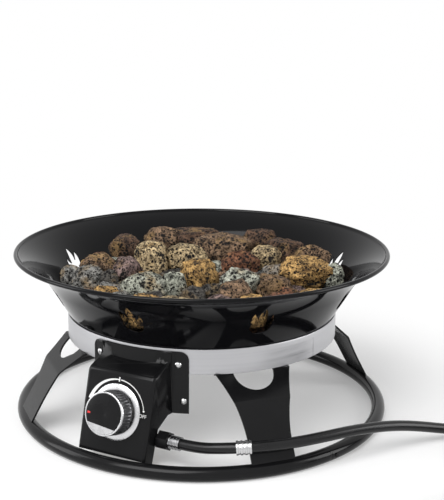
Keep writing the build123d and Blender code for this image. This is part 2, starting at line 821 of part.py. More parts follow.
with BuildPart() as flange:
    flange_points = (
        (flange_inner, flange_bottom),
        (flange_outer, flange_bottom),
        (flange_outer, flange_top),
        (flange_inner, flange_top),
    )
    flange_arc = flange_right_azimuth - flange_left_azimuth
    flange_strip = outline(radial_plane(flange_left_azimuth), flange_points)
    revolve(flange_strip, axis=Axis.Z, revolution_arc=flange_arc)
    corner_edges = flange.edges().filter_by(lambda edge: abs(edge.length - sheet) < running_gap)
    fillet(corner_edges.sort_by(Axis.Z)[-2:], flange_corner_radius)

with BuildPart() as valve_housing:
    add(housing_outer)
    extrude(disc(Plane.XY, flange_inner), amount=rim_height, mode=Mode.SUBTRACT)
    add(flange.part)
    add(housing_inner, mode=Mode.SUBTRACT)
    extrude(disc(valve_plane(0), nose_radius + fit_gap), amount=overrun, both=True, mode=Mode.SUBTRACT)
    for azimuth, height in screw_places:
        hole = disc(facing_plane(azimuth, flange_outer, height), housing_screw_radius + fit_gap)
        extrude(hole, amount=overrun, both=True, mode=Mode.SUBTRACT)
keep(valve_housing.part, "valve_housing")

# Screws and nuts that hold the housing on the band
with BuildPart() as housing_screws:
    for azimuth, height in screw_places:
        head_plane = facing_plane(azimuth, flange_outer + fit_gap, height)
        head_axis = Axis(head_plane.origin, outward(azimuth))
        head_section = Plane(origin=head_plane.origin, x_dir=sideways(azimuth), z_dir=up * -1)
        with BuildSketch(head_section) as head:
            with BuildLine():
                Line((0, housing_screw_head_height), (0, 0))
                Line((0, 0), (housing_screw_head_radius, 0))
                TangentArc(
                    (0, housing_screw_head_height),
                    (housing_screw_head_radius, 0),
                    tangent=(1, 0),
                )
            make_face()
        revolve(head.sketch, axis=head_axis)
        extrude(disc(head_plane, housing_screw_radius), amount=-housing_screw_length)
keep(housing_screws.part, "housing_screws")

with BuildPart() as housing_nuts:
    for azimuth, height in screw_places:
        seat = band_inner - fit_gap if height > band_bottom else flange_inner - fit_gap
        seat_flat = math.sqrt(seat**2 - housing_screw_head_radius**2)
        nut_base = facing_plane(azimuth, seat_flat, height)
        nut = hexagon(nut_base, housing_screw_radius * 4, housing_screw_radius + running_gap)
        extrude(nut, amount=-housing_nut_height)
keep(housing_nuts.part, "housing_nuts")

# Inlet elbow: from the valve's underside to the hose's axis
elbow_start = panel_middle - axis_out * inlet_offset - axis_up * (valve_radius + fit_gap)
elbow_drop = (elbow_start.Z - inlet_height) / math.cos(tilt)
elbow_corner = elbow_start - axis_up * elbow_drop
elbow_end = elbow_corner + across * (hose_nut_start + hose_nut_length / 2)
with BuildPart() as inlet_elbow:
    with BuildLine() as elbow_run:
        FilletPolyline(elbow_start, elbow_corner, elbow_end, radius=inlet_bend)
    elbow_section = Plane(origin=elbow_start, z_dir=axis_up * -1)
    sweep(disc(elbow_section, inlet_pipe_radius, inlet_bore_radius), path=elbow_run.line)
keep(inlet_elbow.part, "inlet_elbow")


def inlet_plane(distance):
    return Plane(origin=elbow_corner + across * distance, x_dir=up, z_dir=across)


with BuildPart() as hose_nut:
    nut_sketch = hexagon(inlet_plane(hose_nut_start), hose_nut_width, inlet_pipe_radius + running_gap)
    extrude(nut_sketch, amount=hose_nut_length)
keep(hose_nut.part, "hose_nut")

# Crimped ferrules, one at each end of the hose


def ferrule_profile(length):
    groove = length / (ferrule_grooves * 2 + 1)
    points = [(0, inlet_bore_radius), (0, ferrule_radius)]
    for index in range(ferrule_grooves):
        left = groove * (index * 2 + 1)
        points.append((left, ferrule_radius))
        points.append((left, ferrule_radius - ferrule_groove_depth))
        points.append((left + groove, ferrule_radius - ferrule_groove_depth))
        points.append((left + groove, ferrule_radius))
    points.append((length, ferrule_radius))
    points.append((length, inlet_bore_radius))
    return points


spigot_length = hose_nut_length / 2 - fit_gap
with BuildPart() as hose_ferrule:
    ferrule_origin = elbow_corner + across * (hose_nut_start + hose_nut_length + fit_gap)
    ferrule_section = Plane(origin=ferrule_origin, x_dir=across, z_dir=across.cross(up))
    revolve(outline(ferrule_section, ferrule_profile(ferrule_length)), axis=Axis(ferrule_origin, across))
    spigot_plane = Plane(origin=ferrule_origin, x_dir=up, z_dir=across)
    extrude(disc(spigot_plane, inlet_pipe_radius, inlet_bore_radius), amount=-spigot_length)
keep(hose_ferrule.part, "hose_ferrule")

# Free hose: from the ferrule, in front of the front leg, over the ring and down to the floor
hose_start = ferrule_origin + across * ferrule_length
floor_line = hose_radius + floor_gap
coil_centre = Vector(*coil_place, floor_line)
heading = math.radians(entry_heading)
coil_forward = Vector(math.cos(heading), math.sin(heading), 0)
coil_left = Vector(-math.sin(heading), math.cos(heading), 0)
coil_outer_radius = coil_mean_radius + coil_step * coil_half_turns / 4
coil_entry = coil_centre + coil_left * coil_outer_radius
hose_route = [
    hose_start,
    hose_start + across * hose_lead,
    *(Vector(*point) for point in hose_via),
    coil_entry - coil_forward * entry_lead,
    coil_entry,
]


def bend_radii(points):
    radii = []
    for before, corner, after in zip(points, points[1:], points[2:]):
        turn = math.radians((corner - before).get_angle(after - corner))
        shorter = min((corner - before).length, (after - corner).length)
        radii.append(bend_reach_share * shorter / math.tan(turn / 2))
    return radii


def tube(points, radii):
    with BuildPart() as pipe:
        with BuildLine() as run:
            FilletPolyline(*points, radius=radii)
        path = run.wires()[0]
        sweep(disc(Plane(origin=points[0], z_dir=points[1] - points[0]), hose_radius), path=path)
    volume_share = pipe.part.volume / (math.pi * hose_radius**2 * path.length)
    print("tube length", round(path.length, 1), "volume share", round(volume_share, 4))
    print("tube radii", [round(radius) for radius in radii])
    return pipe.part, path


hose_part, hose_line = tube(hose_route, bend_radii(hose_route))
keep(hose_part, "gas_hose")

# Bright ribbed collar that slides on the hose
collar_middle = hose_line @ collar_share
collar_direction = hose_line % collar_share
collar_start = collar_middle - collar_direction * (collar_length / 2)
collar_bore = hose_radius + fit_gap * 5
ridge = collar_length / (collar_ridges * 2 - 1)
collar_points = [(0, collar_bore), (0, collar_radius)]
for index in range(collar_ridges - 1):
    left = ridge * (index * 2 + 1)
    collar_points.append((left, collar_radius))
    collar_points.append((left, collar_radius - ferrule_groove_depth))
    collar_points.append((left + ridge, collar_radius - ferrule_groove_depth))
    collar_points.append((left + ridge, collar_radius))
collar_points.append((collar_length, collar_radius))
collar_points.append((collar_length, collar_bore))
with BuildPart() as hose_collar:
    collar_section = Plane(origin=collar_start, x_dir=collar_direction, z_dir=collar_direction.cross(up))
    revolve(outline(collar_section, collar_points), axis=Axis(collar_start, collar_direction))
keep(hose_collar.part, "hose_collar")

# Stored hose: two layers of loops, spiralling in and out again
coil_points = []
with BuildPart() as hose_coil:
    with BuildLine() as coil_run:
        place = coil_entry
        travel = coil_forward
        side = 1
        for half_turn in range(coil_half_turns * 2 + 1):
            shrink = min(half_turn, coil_half_turns * 2 - half_turn)
            loop_radius = coil_outer_radius - coil_step * shrink / 2
            opposite = place - coil_left * side * loop_radius * 2
            if half_turn == coil_half_turns:
                climb = coil_step
                far_reach = math.sqrt(loop_radius**2 + (climb / 2) ** 2)
                middle = (place + opposite) * 0.5 + travel * far_reach + up * climb / 2
                opposite = opposite + up * climb
                chord = (middle - place).normalized()
                middle_travel = chord * (2 * travel.dot(chord)) - travel
                climbing = TangentArc(place, middle, tangent=travel)
                arcs = [climbing, TangentArc(middle, opposite, tangent=middle_travel)]
            else:
                quarter = (place + opposite) * 0.5 + travel * loop_radius
                arcs = [ThreePointArc(place, quarter, opposite)]
            for arc in arcs:
                coil_points += [arc @ (step / coil_steps) for step in range(coil_steps)]
            place = opposite
            travel = travel * -1
            side = -side
    coil_path = coil_run.wires()[0]
    sweep(disc(Plane(origin=coil_entry, z_dir=coil_forward), hose_radius), path=coil_path)
keep(hose_coil.part, "hose_coil")
coil_exit = place
exit_travel = travel

along = [0]
for first, second in zip(coil_points, coil_points[1:]):
    along.append(along[-1] + (second - first).length)
clear = min(
    (coil_points[i] - coil_points[j]).length - hose_radius * 2
    for i in range(len(coil_points))
    for j in range(i + 1, len(coil_points))
    if along[j] - along[i] > hose_radius * 8
)
print("coil length", round(coil_path.length, 1), "least gap", round(clear, 2))

# Ties round the coil's stacked turns
tie_margin = hose_radius + fit_gap * 3 + tie_thickness
tie_inner = coil_outer_radius - coil_step * coil_half_turns / 2
with BuildPart() as coil_ties:
    for tie_turn in (-tie_angle, tie_angle):
        turn = math.radians(tie_turn)
        direction = coil_forward * math.cos(turn) + coil_left * math.sin(turn)
        middle = coil_centre + direction * ((coil_outer_radius + tie_inner) / 2) + up * coil_step / 2
        with BuildSketch(Plane(origin=middle, x_dir=direction, z_dir=direction.cross(up))):
            width = coil_outer_radius - tie_inner + tie_margin * 2
            height = coil_step + tie_margin * 2
            RectangleRounded(width, height, hose_radius + tie_thickness)
            hole_width = width - tie_thickness * 2
            hole_height = height - tie_thickness * 2
            RectangleRounded(hole_width, hole_height, hose_radius, mode=Mode.SUBTRACT)
        extrude(amount=tie_width / 2, both=True)
keep(coil_ties.part, "coil_ties")

# Tail from the coil's top layer to the regulator
tail_side = exit_travel.cross(up)
tail_points = [
    coil_exit,
    coil_exit + exit_travel * tail_run,
    coil_exit + exit_travel * tail_run * 2 + tail_side * tail_run * tail_turn_share,
    coil_exit + exit_travel * tail_run * 3 + tail_side * tail_run * tail_turn_share * 3,
]
tail_part, tail_line = tube(tail_points, bend_radii(tail_points))
keep(tail_part, "hose_tail")

# Regulator: two-part body, outlet with its ferrule, nipple and hand nut
tail_end = tail_line @ 1
regulator_out = tail_line % 1
regulator_side = regulator_out.cross(up)


def regulator_section(origin):
    return Plane(origin=origin, x_dir=regulator_out, z_dir=regulator_side)


with BuildPart() as tail_ferrule:
    tail_section = outline(regulator_section(tail_end), ferrule_profile(ferrule_length))
    revolve(tail_section, axis=Axis(tail_end, regulator_out))
keep(tail_ferrule.part, "tail_ferrule")

outlet_start = tail_end + regulator_out * (ferrule_length + fit_gap)
regulator_centre = outlet_start + regulator_out * (regulator_outlet_length + regulator_radius)
body_plane = Plane(origin=(regulator_centre.X, regulator_centre.Y, floor_gap))
boss_plane = Plane(origin=outlet_start, x_dir=up, z_dir=regulator_out)
boss_length = regulator_outlet_length * 2 + regulator_radius * 2
with BuildPart() as regulator_body:
    extrude(disc(body_plane, regulator_radius), amount=regulator_body_height)
    chamfer(regulator_body.faces().sort_by(Axis.Z)[0].edges(), regulator_flange_plate)
    extrude(disc(boss_plane, ferrule_radius), amount=boss_length)
    flange_base = body_plane.offset(regulator_body_height - regulator_flange_plate)
    extrude(disc(flange_base, regulator_flange_radius), amount=regulator_flange_plate)
    extrude(disc(boss_plane, inlet_bore_radius), amount=boss_length, mode=Mode.SUBTRACT)
keep(regulator_body.part, "regulator_body")

cover_plane = body_plane.offset(regulator_body_height + fit_gap)
with BuildPart() as regulator_cover:
    extrude(disc(cover_plane, regulator_flange_radius), amount=regulator_flange_plate)
    dome_height = regulator_cover_height - regulator_flange_plate
    dome_plane = cover_plane.offset(regulator_flange_plate)
    extrude(disc(dome_plane, regulator_radius - bead_radius), amount=dome_height)
    fillet(regulator_cover.faces().sort_by(Axis.Z)[-1].edges(), dome_height / 2)
    vent_plane = cover_plane.offset(regulator_cover_height)
    extrude(disc(vent_plane, regulator_vent_radius), amount=-sheet, mode=Mode.SUBTRACT)
keep(regulator_cover.part, "regulator_cover")


def regulator_plane(distance):
    return Plane(origin=outlet_start + regulator_out * distance, x_dir=up, z_dir=regulator_out)


nipple_start = boss_length + fit_gap
nut_start = nipple_start + nipple_stop_radius
stop_start = nut_start + tank_nut_wall + fit_gap
with BuildPart() as tank_nipple:
    nipple_plane = regulator_plane(nipple_start)
    stop_plane = regulator_plane(stop_start)
    extrude(disc(nipple_plane, nipple_radius, nipple_bore_radius), amount=nipple_length)
    extrude(disc(nipple_plane, ferrule_radius, nipple_bore_radius), amount=nipple_stop_width)
    extrude(disc(stop_plane, nipple_stop_radius, nipple_bore_radius), amount=nipple_stop_width)
    tip = tank_nipple.faces().sort_by(Axis((0, 0, 0), regulator_out))[-1].outer_wire().edges()
    chamfer(tip, nipple_radius / 3)
keep(tank_nipple.part, "tank_nipple")

# Hand nut that screws onto the gas bottle's valve
with BuildPart() as tank_nut:
    nut_plane = regulator_plane(nut_start)
    extrude(disc(nut_plane, tank_nut_radius), amount=tank_nut_length)
    chamfer(tank_nut.edges(), nipple_radius / 3)
    extrude(disc(nut_plane, nipple_radius + fit_gap), amount=tank_nut_length, mode=Mode.SUBTRACT)
    thread_length = tank_nut_length - tank_nut_wall
    thread_plane = regulator_plane(nut_start + tank_nut_wall)
    extrude(disc(thread_plane, tank_thread_radius), amount=thread_length, mode=Mode.SUBTRACT)
    extrude(disc(thread_plane, tank_relief_radius), amount=tank_relief_length, mode=Mode.SUBTRACT)
    with BuildSketch(nut_plane):
        with PolarLocations(tank_nut_radius + tank_nut_grip_radius / 4, tank_nut_grips):
            Circle(tank_nut_grip_radius)
    extrude(amount=tank_nut_length, mode=Mode.SUBTRACT)
keep(tank_nut.part, "tank_nut")
mouth = regulator_plane(nut_start + tank_nut_length).origin
print("tank nut mouth", mouth, "along", regulator_out)
print("panel middle", panel_middle, "axis", axis_out)

# Lava rocks: many-sided lumps packed side by side, cut where neighbours meet
# Place and size shares of the bed's radius and the rock size, seen from above
top_rock_shares = (
    (-0.955, -0.105, 0.50), (-0.790, -0.210, 0.72), (-0.650, -0.330, 0.52), (-0.755, 0.130, 0.70),
    (-0.545, -0.100, 0.68), (-0.395, -0.395, 1.00), (-0.375, 0.205, 1.00), (-0.200, -0.345, 0.66),
    (-0.140, 0.250, 1.00), (-0.025, -0.190, 1.00), (-0.080, 0.760, 1.10), (-0.300, 0.740, 0.95),
    (-0.585, 0.530, 0.80), (0.155, 0.525, 1.10), (0.260, -0.340, 0.90), (0.075, -0.475, 0.50),
    (0.275, 0.155, 0.80), (0.470, -0.375, 0.80), (0.470, 0.245, 0.70), (0.635, 0.500, 0.90),
    (0.735, -0.115, 1.10), (0.850, 0.365, 0.80), (0.940, -0.115, 0.55), (0.465, 0.785, 0.80),
    (-0.560, -0.720, 1.00), (-0.270, -0.760, 1.00), (0.020, -0.800, 1.00), (0.320, -0.740, 1.00),
    (0.600, -0.660, 1.00), (0.820, -0.450, 0.90), (-0.820, -0.480, 0.90), (-0.840, 0.420, 0.85),
    (0.740, 0.740, 0.70), (0.190, 0.930, 0.80), (-0.100, -0.560, 0.70), (0.420, 0.020, 0.60),
)
rock_floor = burner_height + burner_tube_radius + sheet
rock_crown = rock_floor + rock_crown_rise
rock_edge_top = rock_floor + rock_edge_rise


def fill_radius(height):
    return wall_radius(height) - bowl_wall / math.cos(lean) - rock_gap


def rock_tops(x, y, index):
    distance_share = (x**2 + y**2) / rock_bed_radius**2
    wobble = rock_wobble * math.sin(index * rock_wobble_step)
    return rock_crown - (rock_crown - rock_edge_top) * distance_share + wobble


def rock_lump(index, places, low, high, fill):
    x, y, size = places[index]
    centre = Vector(x, y, (low + high) / 2)
    with BuildPart() as lump:
        with Locations(centre):
            Box(size * rock_block_share, size * rock_block_share, high - low)
        for other, (other_x, other_y, other_size) in enumerate(places):
            step = Vector(other_x - x, other_y - y, 0)
            if other != index and step.length < (size + other_size):
                border = centre + step * (size / (size + other_size)) - step.normalized() * rock_gap / 2
                split(bisect_by=Plane(origin=border, z_dir=step), keep=Keep.BOTTOM)
        for face in range(rock_faces):
            turn = math.radians(lump_angle * index + face * 360 / rock_faces)
            rise = math.sin(math.radians(rock_face_angle + rock_face_swing * math.sin(index + face * 2)))
            slope = Vector(math.cos(turn), math.sin(turn), rise)
            face_side = Vector(math.cos(turn), math.sin(turn), 0)
            top_edge = centre + up * (high - low) / 2 + face_side * size * rock_edge_share
            split(bisect_by=Plane(origin=top_edge, z_dir=slope), keep=Keep.BOTTOM)
        if math.hypot(x, y) + size > fill_radius(low):
            add(fill, mode=Mode.INTERSECT)
    return lump.part


with BuildPart() as rock_fill:
    chamfer_height = bowl_floor_height + bowl_corner_radius / 2
    fill_points = (
        (0, bowl_inner_floor + rock_gap),
        (floor_corner[0] - bowl_corner_radius, bowl_inner_floor + rock_gap),
        (fill_radius(chamfer_height), chamfer_height),
        (fill_radius(rim_height), rim_height),
        (0, rim_height),
    )
    revolve(outline(Plane.XZ, fill_points), axis=Axis.Z)

top_places = [
    (x_share * rock_bed_radius, y_share * rock_bed_radius, size_share * rock_size)
    for x_share, y_share, size_share in top_rock_shares
]
with BuildPart() as lava_rocks:
    for index, (x, y, size) in enumerate(top_places):
        lump = rock_lump(index, top_places, rock_floor, rock_tops(x, y, index), rock_fill.part)
        add(lump)
keep(lava_rocks.part, "lava_rocks")

lower_radius = rock_bed_radius * lower_ring_share
lower_inner_radius = burner_radius + burner_tube_radius + rock_gap
with BuildPart() as lower_core:
    extrude(disc(Plane.XY, lower_inner_radius), amount=rim_height)
lower_places = []
lower_floor = bowl_inner_floor + bolt_head_height + fit_gap + rock_gap
for index in range(lower_rock_count):
    spot = outward(360 / lower_rock_count * (index + 0.5)) * lower_radius
    swing = 1 + rock_size_swing_share * math.sin(index * 2)
    lower_places.append((spot.X, spot.Y, rock_size * swing))
with BuildPart() as lava_rocks_lower:
    for index in range(lower_rock_count):
        lump = rock_lump(index, lower_places, lower_floor, rock_floor - rock_gap, rock_fill.part)
        add(lump)
    add(lower_core.part, mode=Mode.SUBTRACT)
keep(lava_rocks_lower.part, "lava_rocks_lower")
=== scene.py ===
import json
import math
import random

import bmesh
import bpy
from mathutils import Matrix, Vector, noise


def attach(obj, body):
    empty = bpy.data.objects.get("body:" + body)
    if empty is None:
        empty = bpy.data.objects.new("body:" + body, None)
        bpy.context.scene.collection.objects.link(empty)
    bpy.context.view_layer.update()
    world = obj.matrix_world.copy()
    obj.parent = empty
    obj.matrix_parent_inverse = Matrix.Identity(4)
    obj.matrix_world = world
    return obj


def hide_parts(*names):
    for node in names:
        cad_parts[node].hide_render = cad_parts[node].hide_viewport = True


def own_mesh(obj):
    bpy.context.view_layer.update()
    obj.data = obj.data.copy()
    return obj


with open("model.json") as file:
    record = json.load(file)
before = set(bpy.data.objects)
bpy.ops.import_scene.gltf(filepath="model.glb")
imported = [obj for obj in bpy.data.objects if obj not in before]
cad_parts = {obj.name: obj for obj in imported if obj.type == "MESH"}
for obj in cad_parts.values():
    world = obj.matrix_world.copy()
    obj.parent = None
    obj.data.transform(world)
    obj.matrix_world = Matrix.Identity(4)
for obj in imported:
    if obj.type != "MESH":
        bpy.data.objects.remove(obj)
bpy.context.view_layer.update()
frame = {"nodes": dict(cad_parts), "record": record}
cad_nodes = frame["nodes"]

# Sizes are written in millimetres and turned into metres by this factor
MM = 0.001
UP = Vector((0.0, 0.0, 1.0))


def outward(azimuth):
    """Level direction away from the middle; 0 degrees is the front."""
    turn = math.radians(azimuth)
    return Vector((math.sin(turn), -math.cos(turn), 0.0))


def sideways(azimuth):
    """Level direction to the right of outward, as seen from the front."""
    turn = math.radians(azimuth)
    return Vector((math.cos(turn), math.sin(turn), 0.0))


# Camera: eye level of the photograph, solved from the rim, band and ring ellipses
CAMERA_PLACE = Vector((-0.001, -1.4605, 0.5996))
CAMERA_PITCH = 0.2456
CAMERA_YAW = 0.0200
CAMERA_ROLL = 0.0084
CAMERA_LENS = 75.4
CAMERA_SENSOR = 36.0
CAMERA_NEAR = 0.05
CAMERA_FAR = 30.0


def make_camera():
    ahead = Vector((
        math.sin(CAMERA_YAW) * math.cos(CAMERA_PITCH),
        math.cos(CAMERA_YAW) * math.cos(CAMERA_PITCH),
        -math.sin(CAMERA_PITCH),
    ))
    right = Vector((math.cos(CAMERA_YAW), -math.sin(CAMERA_YAW), 0.0))
    above = right.cross(ahead)
    rolled_right = right * math.cos(CAMERA_ROLL) + above * math.sin(CAMERA_ROLL)
    rolled_above = above * math.cos(CAMERA_ROLL) - right * math.sin(CAMERA_ROLL)
    data = bpy.data.cameras.new("photo_camera")
    data.lens = CAMERA_LENS
    data.sensor_width = CAMERA_SENSOR
    data.clip_start = CAMERA_NEAR
    data.clip_end = CAMERA_FAR
    camera = bpy.data.objects.new("photo_camera", data)
    axes = Matrix((rolled_right, rolled_above, -ahead)).transposed().to_4x4()
    camera.matrix_world = Matrix.Translation(CAMERA_PLACE) @ axes
    bpy.context.scene.collection.objects.link(camera)
    bpy.context.scene.camera = camera


make_camera()
bpy.context.scene.view_settings.view_transform = "Standard"


# Materials: each is a procedural node tree on the Principled shader
TONE_LOW = 0.3
TONE_HIGH = 0.7
GRAIN_DETAIL = 2.0
GRAIN_STRENGTH = 0.6
EVEN = (1.0, 1.0, 1.0)
BRUSHED = (1.0, 1.0, 60.0)
WHITE = (1.0, 1.0, 1.0, 1.0)
SHARP_ANGLE = 35.0


def mix_colour(tree, low, high, factor):
    """A mix of two colours, each a plain one or another node's output."""
    mix = tree.nodes.new("ShaderNodeMix")
    mix.data_type = "RGBA"
    for side, colour in (("A", low), ("B", high)):
        if isinstance(colour, tuple):
            mix.inputs[side].default_value = (*colour, 1.0)
        else:
            tree.links.new(colour, mix.inputs[side])
    tree.links.new(factor, mix.inputs["Factor"])
    return mix.outputs["Result"]


def texture_place(tree, stretch=EVEN):
    """The object's own coordinates in metres, stretched along its axes."""
    coordinates = tree.nodes.new("ShaderNodeTexCoord")
    mapping = tree.nodes.new("ShaderNodeMapping")
    mapping.inputs["Scale"].default_value = stretch
    tree.links.new(coordinates.outputs["Object"], mapping.inputs["Vector"])
    return mapping.outputs["Vector"]


def noise_texture(tree, place, scale, detail=3.0, roughness=0.5):
    texture = tree.nodes.new("ShaderNodeTexNoise")
    texture.inputs["Scale"].default_value = scale
    texture.inputs["Detail"].default_value = detail
    texture.inputs["Roughness"].default_value = roughness
    tree.links.new(place, texture.inputs["Vector"])
    return texture.outputs["Fac"]


def spread(tree, factor, low, high, from_low=0.0, from_high=1.0):
    span = tree.nodes.new("ShaderNodeMapRange")
    span.inputs["From Min"].default_value = from_low
    span.inputs["From Max"].default_value = from_high
    span.inputs["To Min"].default_value = low
    span.inputs["To Max"].default_value = high
    tree.links.new(factor, span.inputs["Value"])
    return span.outputs["Result"]


def blend(tree, kind, first, second):
    """A Math node of two factors."""
    node = tree.nodes.new("ShaderNodeMath")
    node.operation = kind
    tree.links.new(first, node.inputs[0])
    tree.links.new(second, node.inputs[1])
    return node.outputs[0]


def bump(tree, factor, strength, distance):
    node = tree.nodes.new("ShaderNodeBump")
    node.inputs["Strength"].default_value = strength
    node.inputs["Distance"].default_value = distance
    tree.links.new(factor, node.inputs["Height"])
    return node.outputs["Normal"]


def finish(
    name,
    dark,
    light,
    rough,
    metallic=0.0,
    tone_scale=30.0,
    grain_scale=900.0,
    grain_depth=0.0,
    stretch=EVEN,
    specular=0.5,
):
    """A finish that drifts between two colours and two roughnesses, with fine relief of a depth in mm."""
    material = bpy.data.materials.new(name)
    material.use_nodes = True
    tree = material.node_tree
    shader = tree.nodes["Principled BSDF"]
    place = texture_place(tree, stretch)
    tone = noise_texture(tree, place, tone_scale)
    tree.links.new(mix_colour(tree, dark, light, tone), shader.inputs["Base Color"])
    tree.links.new(spread(tree, tone, rough[0], rough[1], TONE_LOW, TONE_HIGH), shader.inputs["Roughness"])
    shader.inputs["Metallic"].default_value = metallic
    shader.inputs["Specular IOR Level"].default_value = specular
    if grain_depth > 0.0:
        grain = noise_texture(tree, place, grain_scale, GRAIN_DETAIL)
        tree.links.new(bump(tree, grain, GRAIN_STRENGTH, grain_depth * MM), shader.inputs["Normal"])
    return material


enamel = finish("black_enamel", (0.0025, 0.0025, 0.0029), (0.004, 0.004, 0.0048), (0.05, 0.10),
                specular=0.13, tone_scale=9.0, grain_scale=30.0, grain_depth=0.04)
satin = finish("satin_band", (0.42, 0.42, 0.435), (0.52, 0.52, 0.535), (0.32, 0.44), metallic=1.0,
               tone_scale=5.0, grain_scale=9.0, grain_depth=0.05, stretch=BRUSHED)
paint = finish("black_paint", (0.0045, 0.0045, 0.0050), (0.008, 0.008, 0.0085), (0.12, 0.22), specular=0.16,
               grain_scale=1400.0, grain_depth=0.02)
zinc = finish("zinc_steel", (0.46, 0.46, 0.47), (0.64, 0.64, 0.64), (0.16, 0.30), metallic=1.0,
              tone_scale=160.0)
heat_steel = finish("burner_steel", (0.20, 0.18, 0.17), (0.38, 0.36, 0.35), (0.40, 0.60), metallic=1.0,
                    tone_scale=45.0)
# Painted reflection: the ferrules' steel is made darker, for dark surroundings that it would mirror
ferrule_steel = finish("ferrule_steel", (0.16, 0.16, 0.165), (0.46, 0.46, 0.47), (0.10, 0.20), metallic=1.0,
                       tone_scale=90.0)
brass = finish("brass", (0.55, 0.38, 0.14), (0.72, 0.52, 0.22), (0.22, 0.36), metallic=1.0, tone_scale=80.0)
aluminium = finish("aluminium", (0.52, 0.52, 0.53), (0.68, 0.68, 0.69), (0.22, 0.32), metallic=1.0,
                   tone_scale=120.0)
knob_grey = finish("knob_grey", (0.030, 0.030, 0.032), (0.26, 0.26, 0.27), (0.26, 0.42), metallic=1.0,
                   tone_scale=700.0)
plastic = finish("black_plastic", (0.005, 0.005, 0.0055), (0.009, 0.009, 0.0095), (0.20, 0.32),
                 specular=0.14, grain_scale=2500.0, grain_depth=0.02)
rubber = finish("hose_rubber", (0.005, 0.005, 0.0055), (0.010, 0.010, 0.0105), (0.16, 0.26), specular=0.26,
                grain_scale=1800.0, grain_depth=0.02)
print_white = finish("print_white", (0.70, 0.70, 0.69), (0.80, 0.80, 0.79), (0.45, 0.55))
pointer_red = finish("pointer_red", (0.55, 0.02, 0.02), (0.68, 0.03, 0.03), (0.35, 0.45))

slot_finish = {
    "black_enamel": enamel,
    "satin_band": satin,
    "black_paint": paint,
    "zinc_steel": zinc,
    "burner_steel": heat_steel,
    "brass": brass,
    "aluminium": aluminium,
    "black_plastic": plastic,
    "hose_rubber": rubber,
}


# Mesh helpers; merging distances are in metres, angles in degrees
SPUN_MERGE = 0.00001
COPY_MERGE = 0.000002
FLAT_ANGLE = 0.6
CORNER_SHARE = 0.45
EDGE_SEGMENTS = 2
FOLD_SEGMENTS = 5


def link_mesh(name, vertices, faces, material, body="base", slot=None, sharp=SHARP_ANGLE):
    mesh = bpy.data.meshes.new(name)
    mesh.from_pydata(vertices, [], faces)
    mesh.validate()
    return link_piece(name, mesh, material, body, sharp)


def link_piece(name, mesh, material, body="base", sharp=SHARP_ANGLE):
    """A piece of one material that rides its body, smooth up to the sharp angle in degrees."""
    mesh.materials.clear()
    mesh.materials.append(material)
    mesh.shade_smooth()
    mesh.set_sharp_from_angle(angle=math.radians(sharp))
    piece = bpy.data.objects.new(name, mesh)
    bpy.context.scene.collection.objects.link(piece)
    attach(piece, body)
    return piece


def arc(centre, radius, start, end, steps):
    """Points on an arc between two angles in degrees, both ends included."""
    points = []
    for step in range(steps + 1):
        turn = math.radians(start + (end - start) * step / steps)
        points.append((centre[0] + radius * math.cos(turn), centre[1] + radius * math.sin(turn)))
    return points


def spin_mesh(profile, place, segments, shape=None):
    """Turns a closed profile of radius and height, in millimetres, about the place's own z axis."""
    vertices = []
    faces = []
    count = len(profile)
    for segment in range(segments):
        turn = math.tau * segment / segments
        for radius, height in profile:
            if shape:
                radius = shape(radius, height, turn)
            point = Vector((radius * math.cos(turn), radius * math.sin(turn), height)) * MM
            vertices.append(place @ point)
    for segment in range(segments):
        here = segment * count
        there = (segment + 1) % segments * count
        for index in range(count):
            follow = (index + 1) % count
            faces.append((here + index, there + index, there + follow, here + follow))
    return vertices, faces


def spin(name, profile, place, material, segments, shape=None, **where):
    """A turned piece; doubled points, as on the axis, are merged."""
    vertices, faces = spin_mesh(profile, place, segments, shape)
    piece = link_mesh(name, vertices, faces, material, **where)
    tidy = bmesh.new()
    tidy.from_mesh(piece.data)
    bmesh.ops.remove_doubles(tidy, verts=tidy.verts, dist=SPUN_MERGE)
    bmesh.ops.recalc_face_normals(tidy, faces=tidy.faces)
    tidy.to_mesh(piece.data)
    tidy.free()
    piece.data.shade_smooth()
    piece.data.set_sharp_from_angle(angle=math.radians(where.get("sharp", SHARP_ANGLE)))
    return piece


def rounded(points, radius, steps=4):
    """Rounds the corners of a closed profile by the same small radius."""
    result = []
    count = len(points)
    for index, corner in enumerate(points):
        before = Vector(points[index - 1])
        here = Vector(corner)
        after = Vector(points[(index + 1) % count])
        back = before - here
        ahead = after - here
        cut = min(radius, back.length * CORNER_SHARE, ahead.length * CORNER_SHARE)
        start = here + back.normalized() * cut
        end = here + ahead.normalized() * cut
        for step in range(steps + 1):
            share = step / steps
            point = start * (1 - share) ** 2 + here * 2 * share * (1 - share) + end * share**2
            result.append((point.x, point.y))
    return result


def dress(node, material, body="base", bevel=0.4, sharp=32.0, folds=None, fold_radius=0.0):
    """A smoothly shaded copy of a CAD node with softly broken edges, and rounder ones at its folds."""
    mesh = cad_nodes[node].data.copy()
    tidy = bmesh.new()
    tidy.from_mesh(mesh)
    bmesh.ops.remove_doubles(tidy, verts=tidy.verts, dist=COPY_MERGE)
    bmesh.ops.dissolve_limit(tidy, angle_limit=math.radians(FLAT_ANGLE), verts=tidy.verts, edges=tidy.edges)
    if folds:
        chosen = [edge for edge in tidy.edges if folds(edge)]
        bmesh.ops.bevel(tidy, geom=chosen, offset=fold_radius * MM, offset_type="OFFSET",
                        segments=FOLD_SEGMENTS, profile=0.5, affect="EDGES", clamp_overlap=False)
    tidy.to_mesh(mesh)
    tidy.free()
    piece = link_piece(node + "_finish", mesh, material, body, sharp)
    if bevel > 0.0:
        edge = piece.modifiers.new("soft_edges", "BEVEL")
        edge.width = bevel * MM
        edge.segments = EDGE_SEGMENTS
        edge.limit_method = "ANGLE"
        edge.angle_limit = math.radians(sharp)
        edge.harden_normals = True
    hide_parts(node)
    return piece


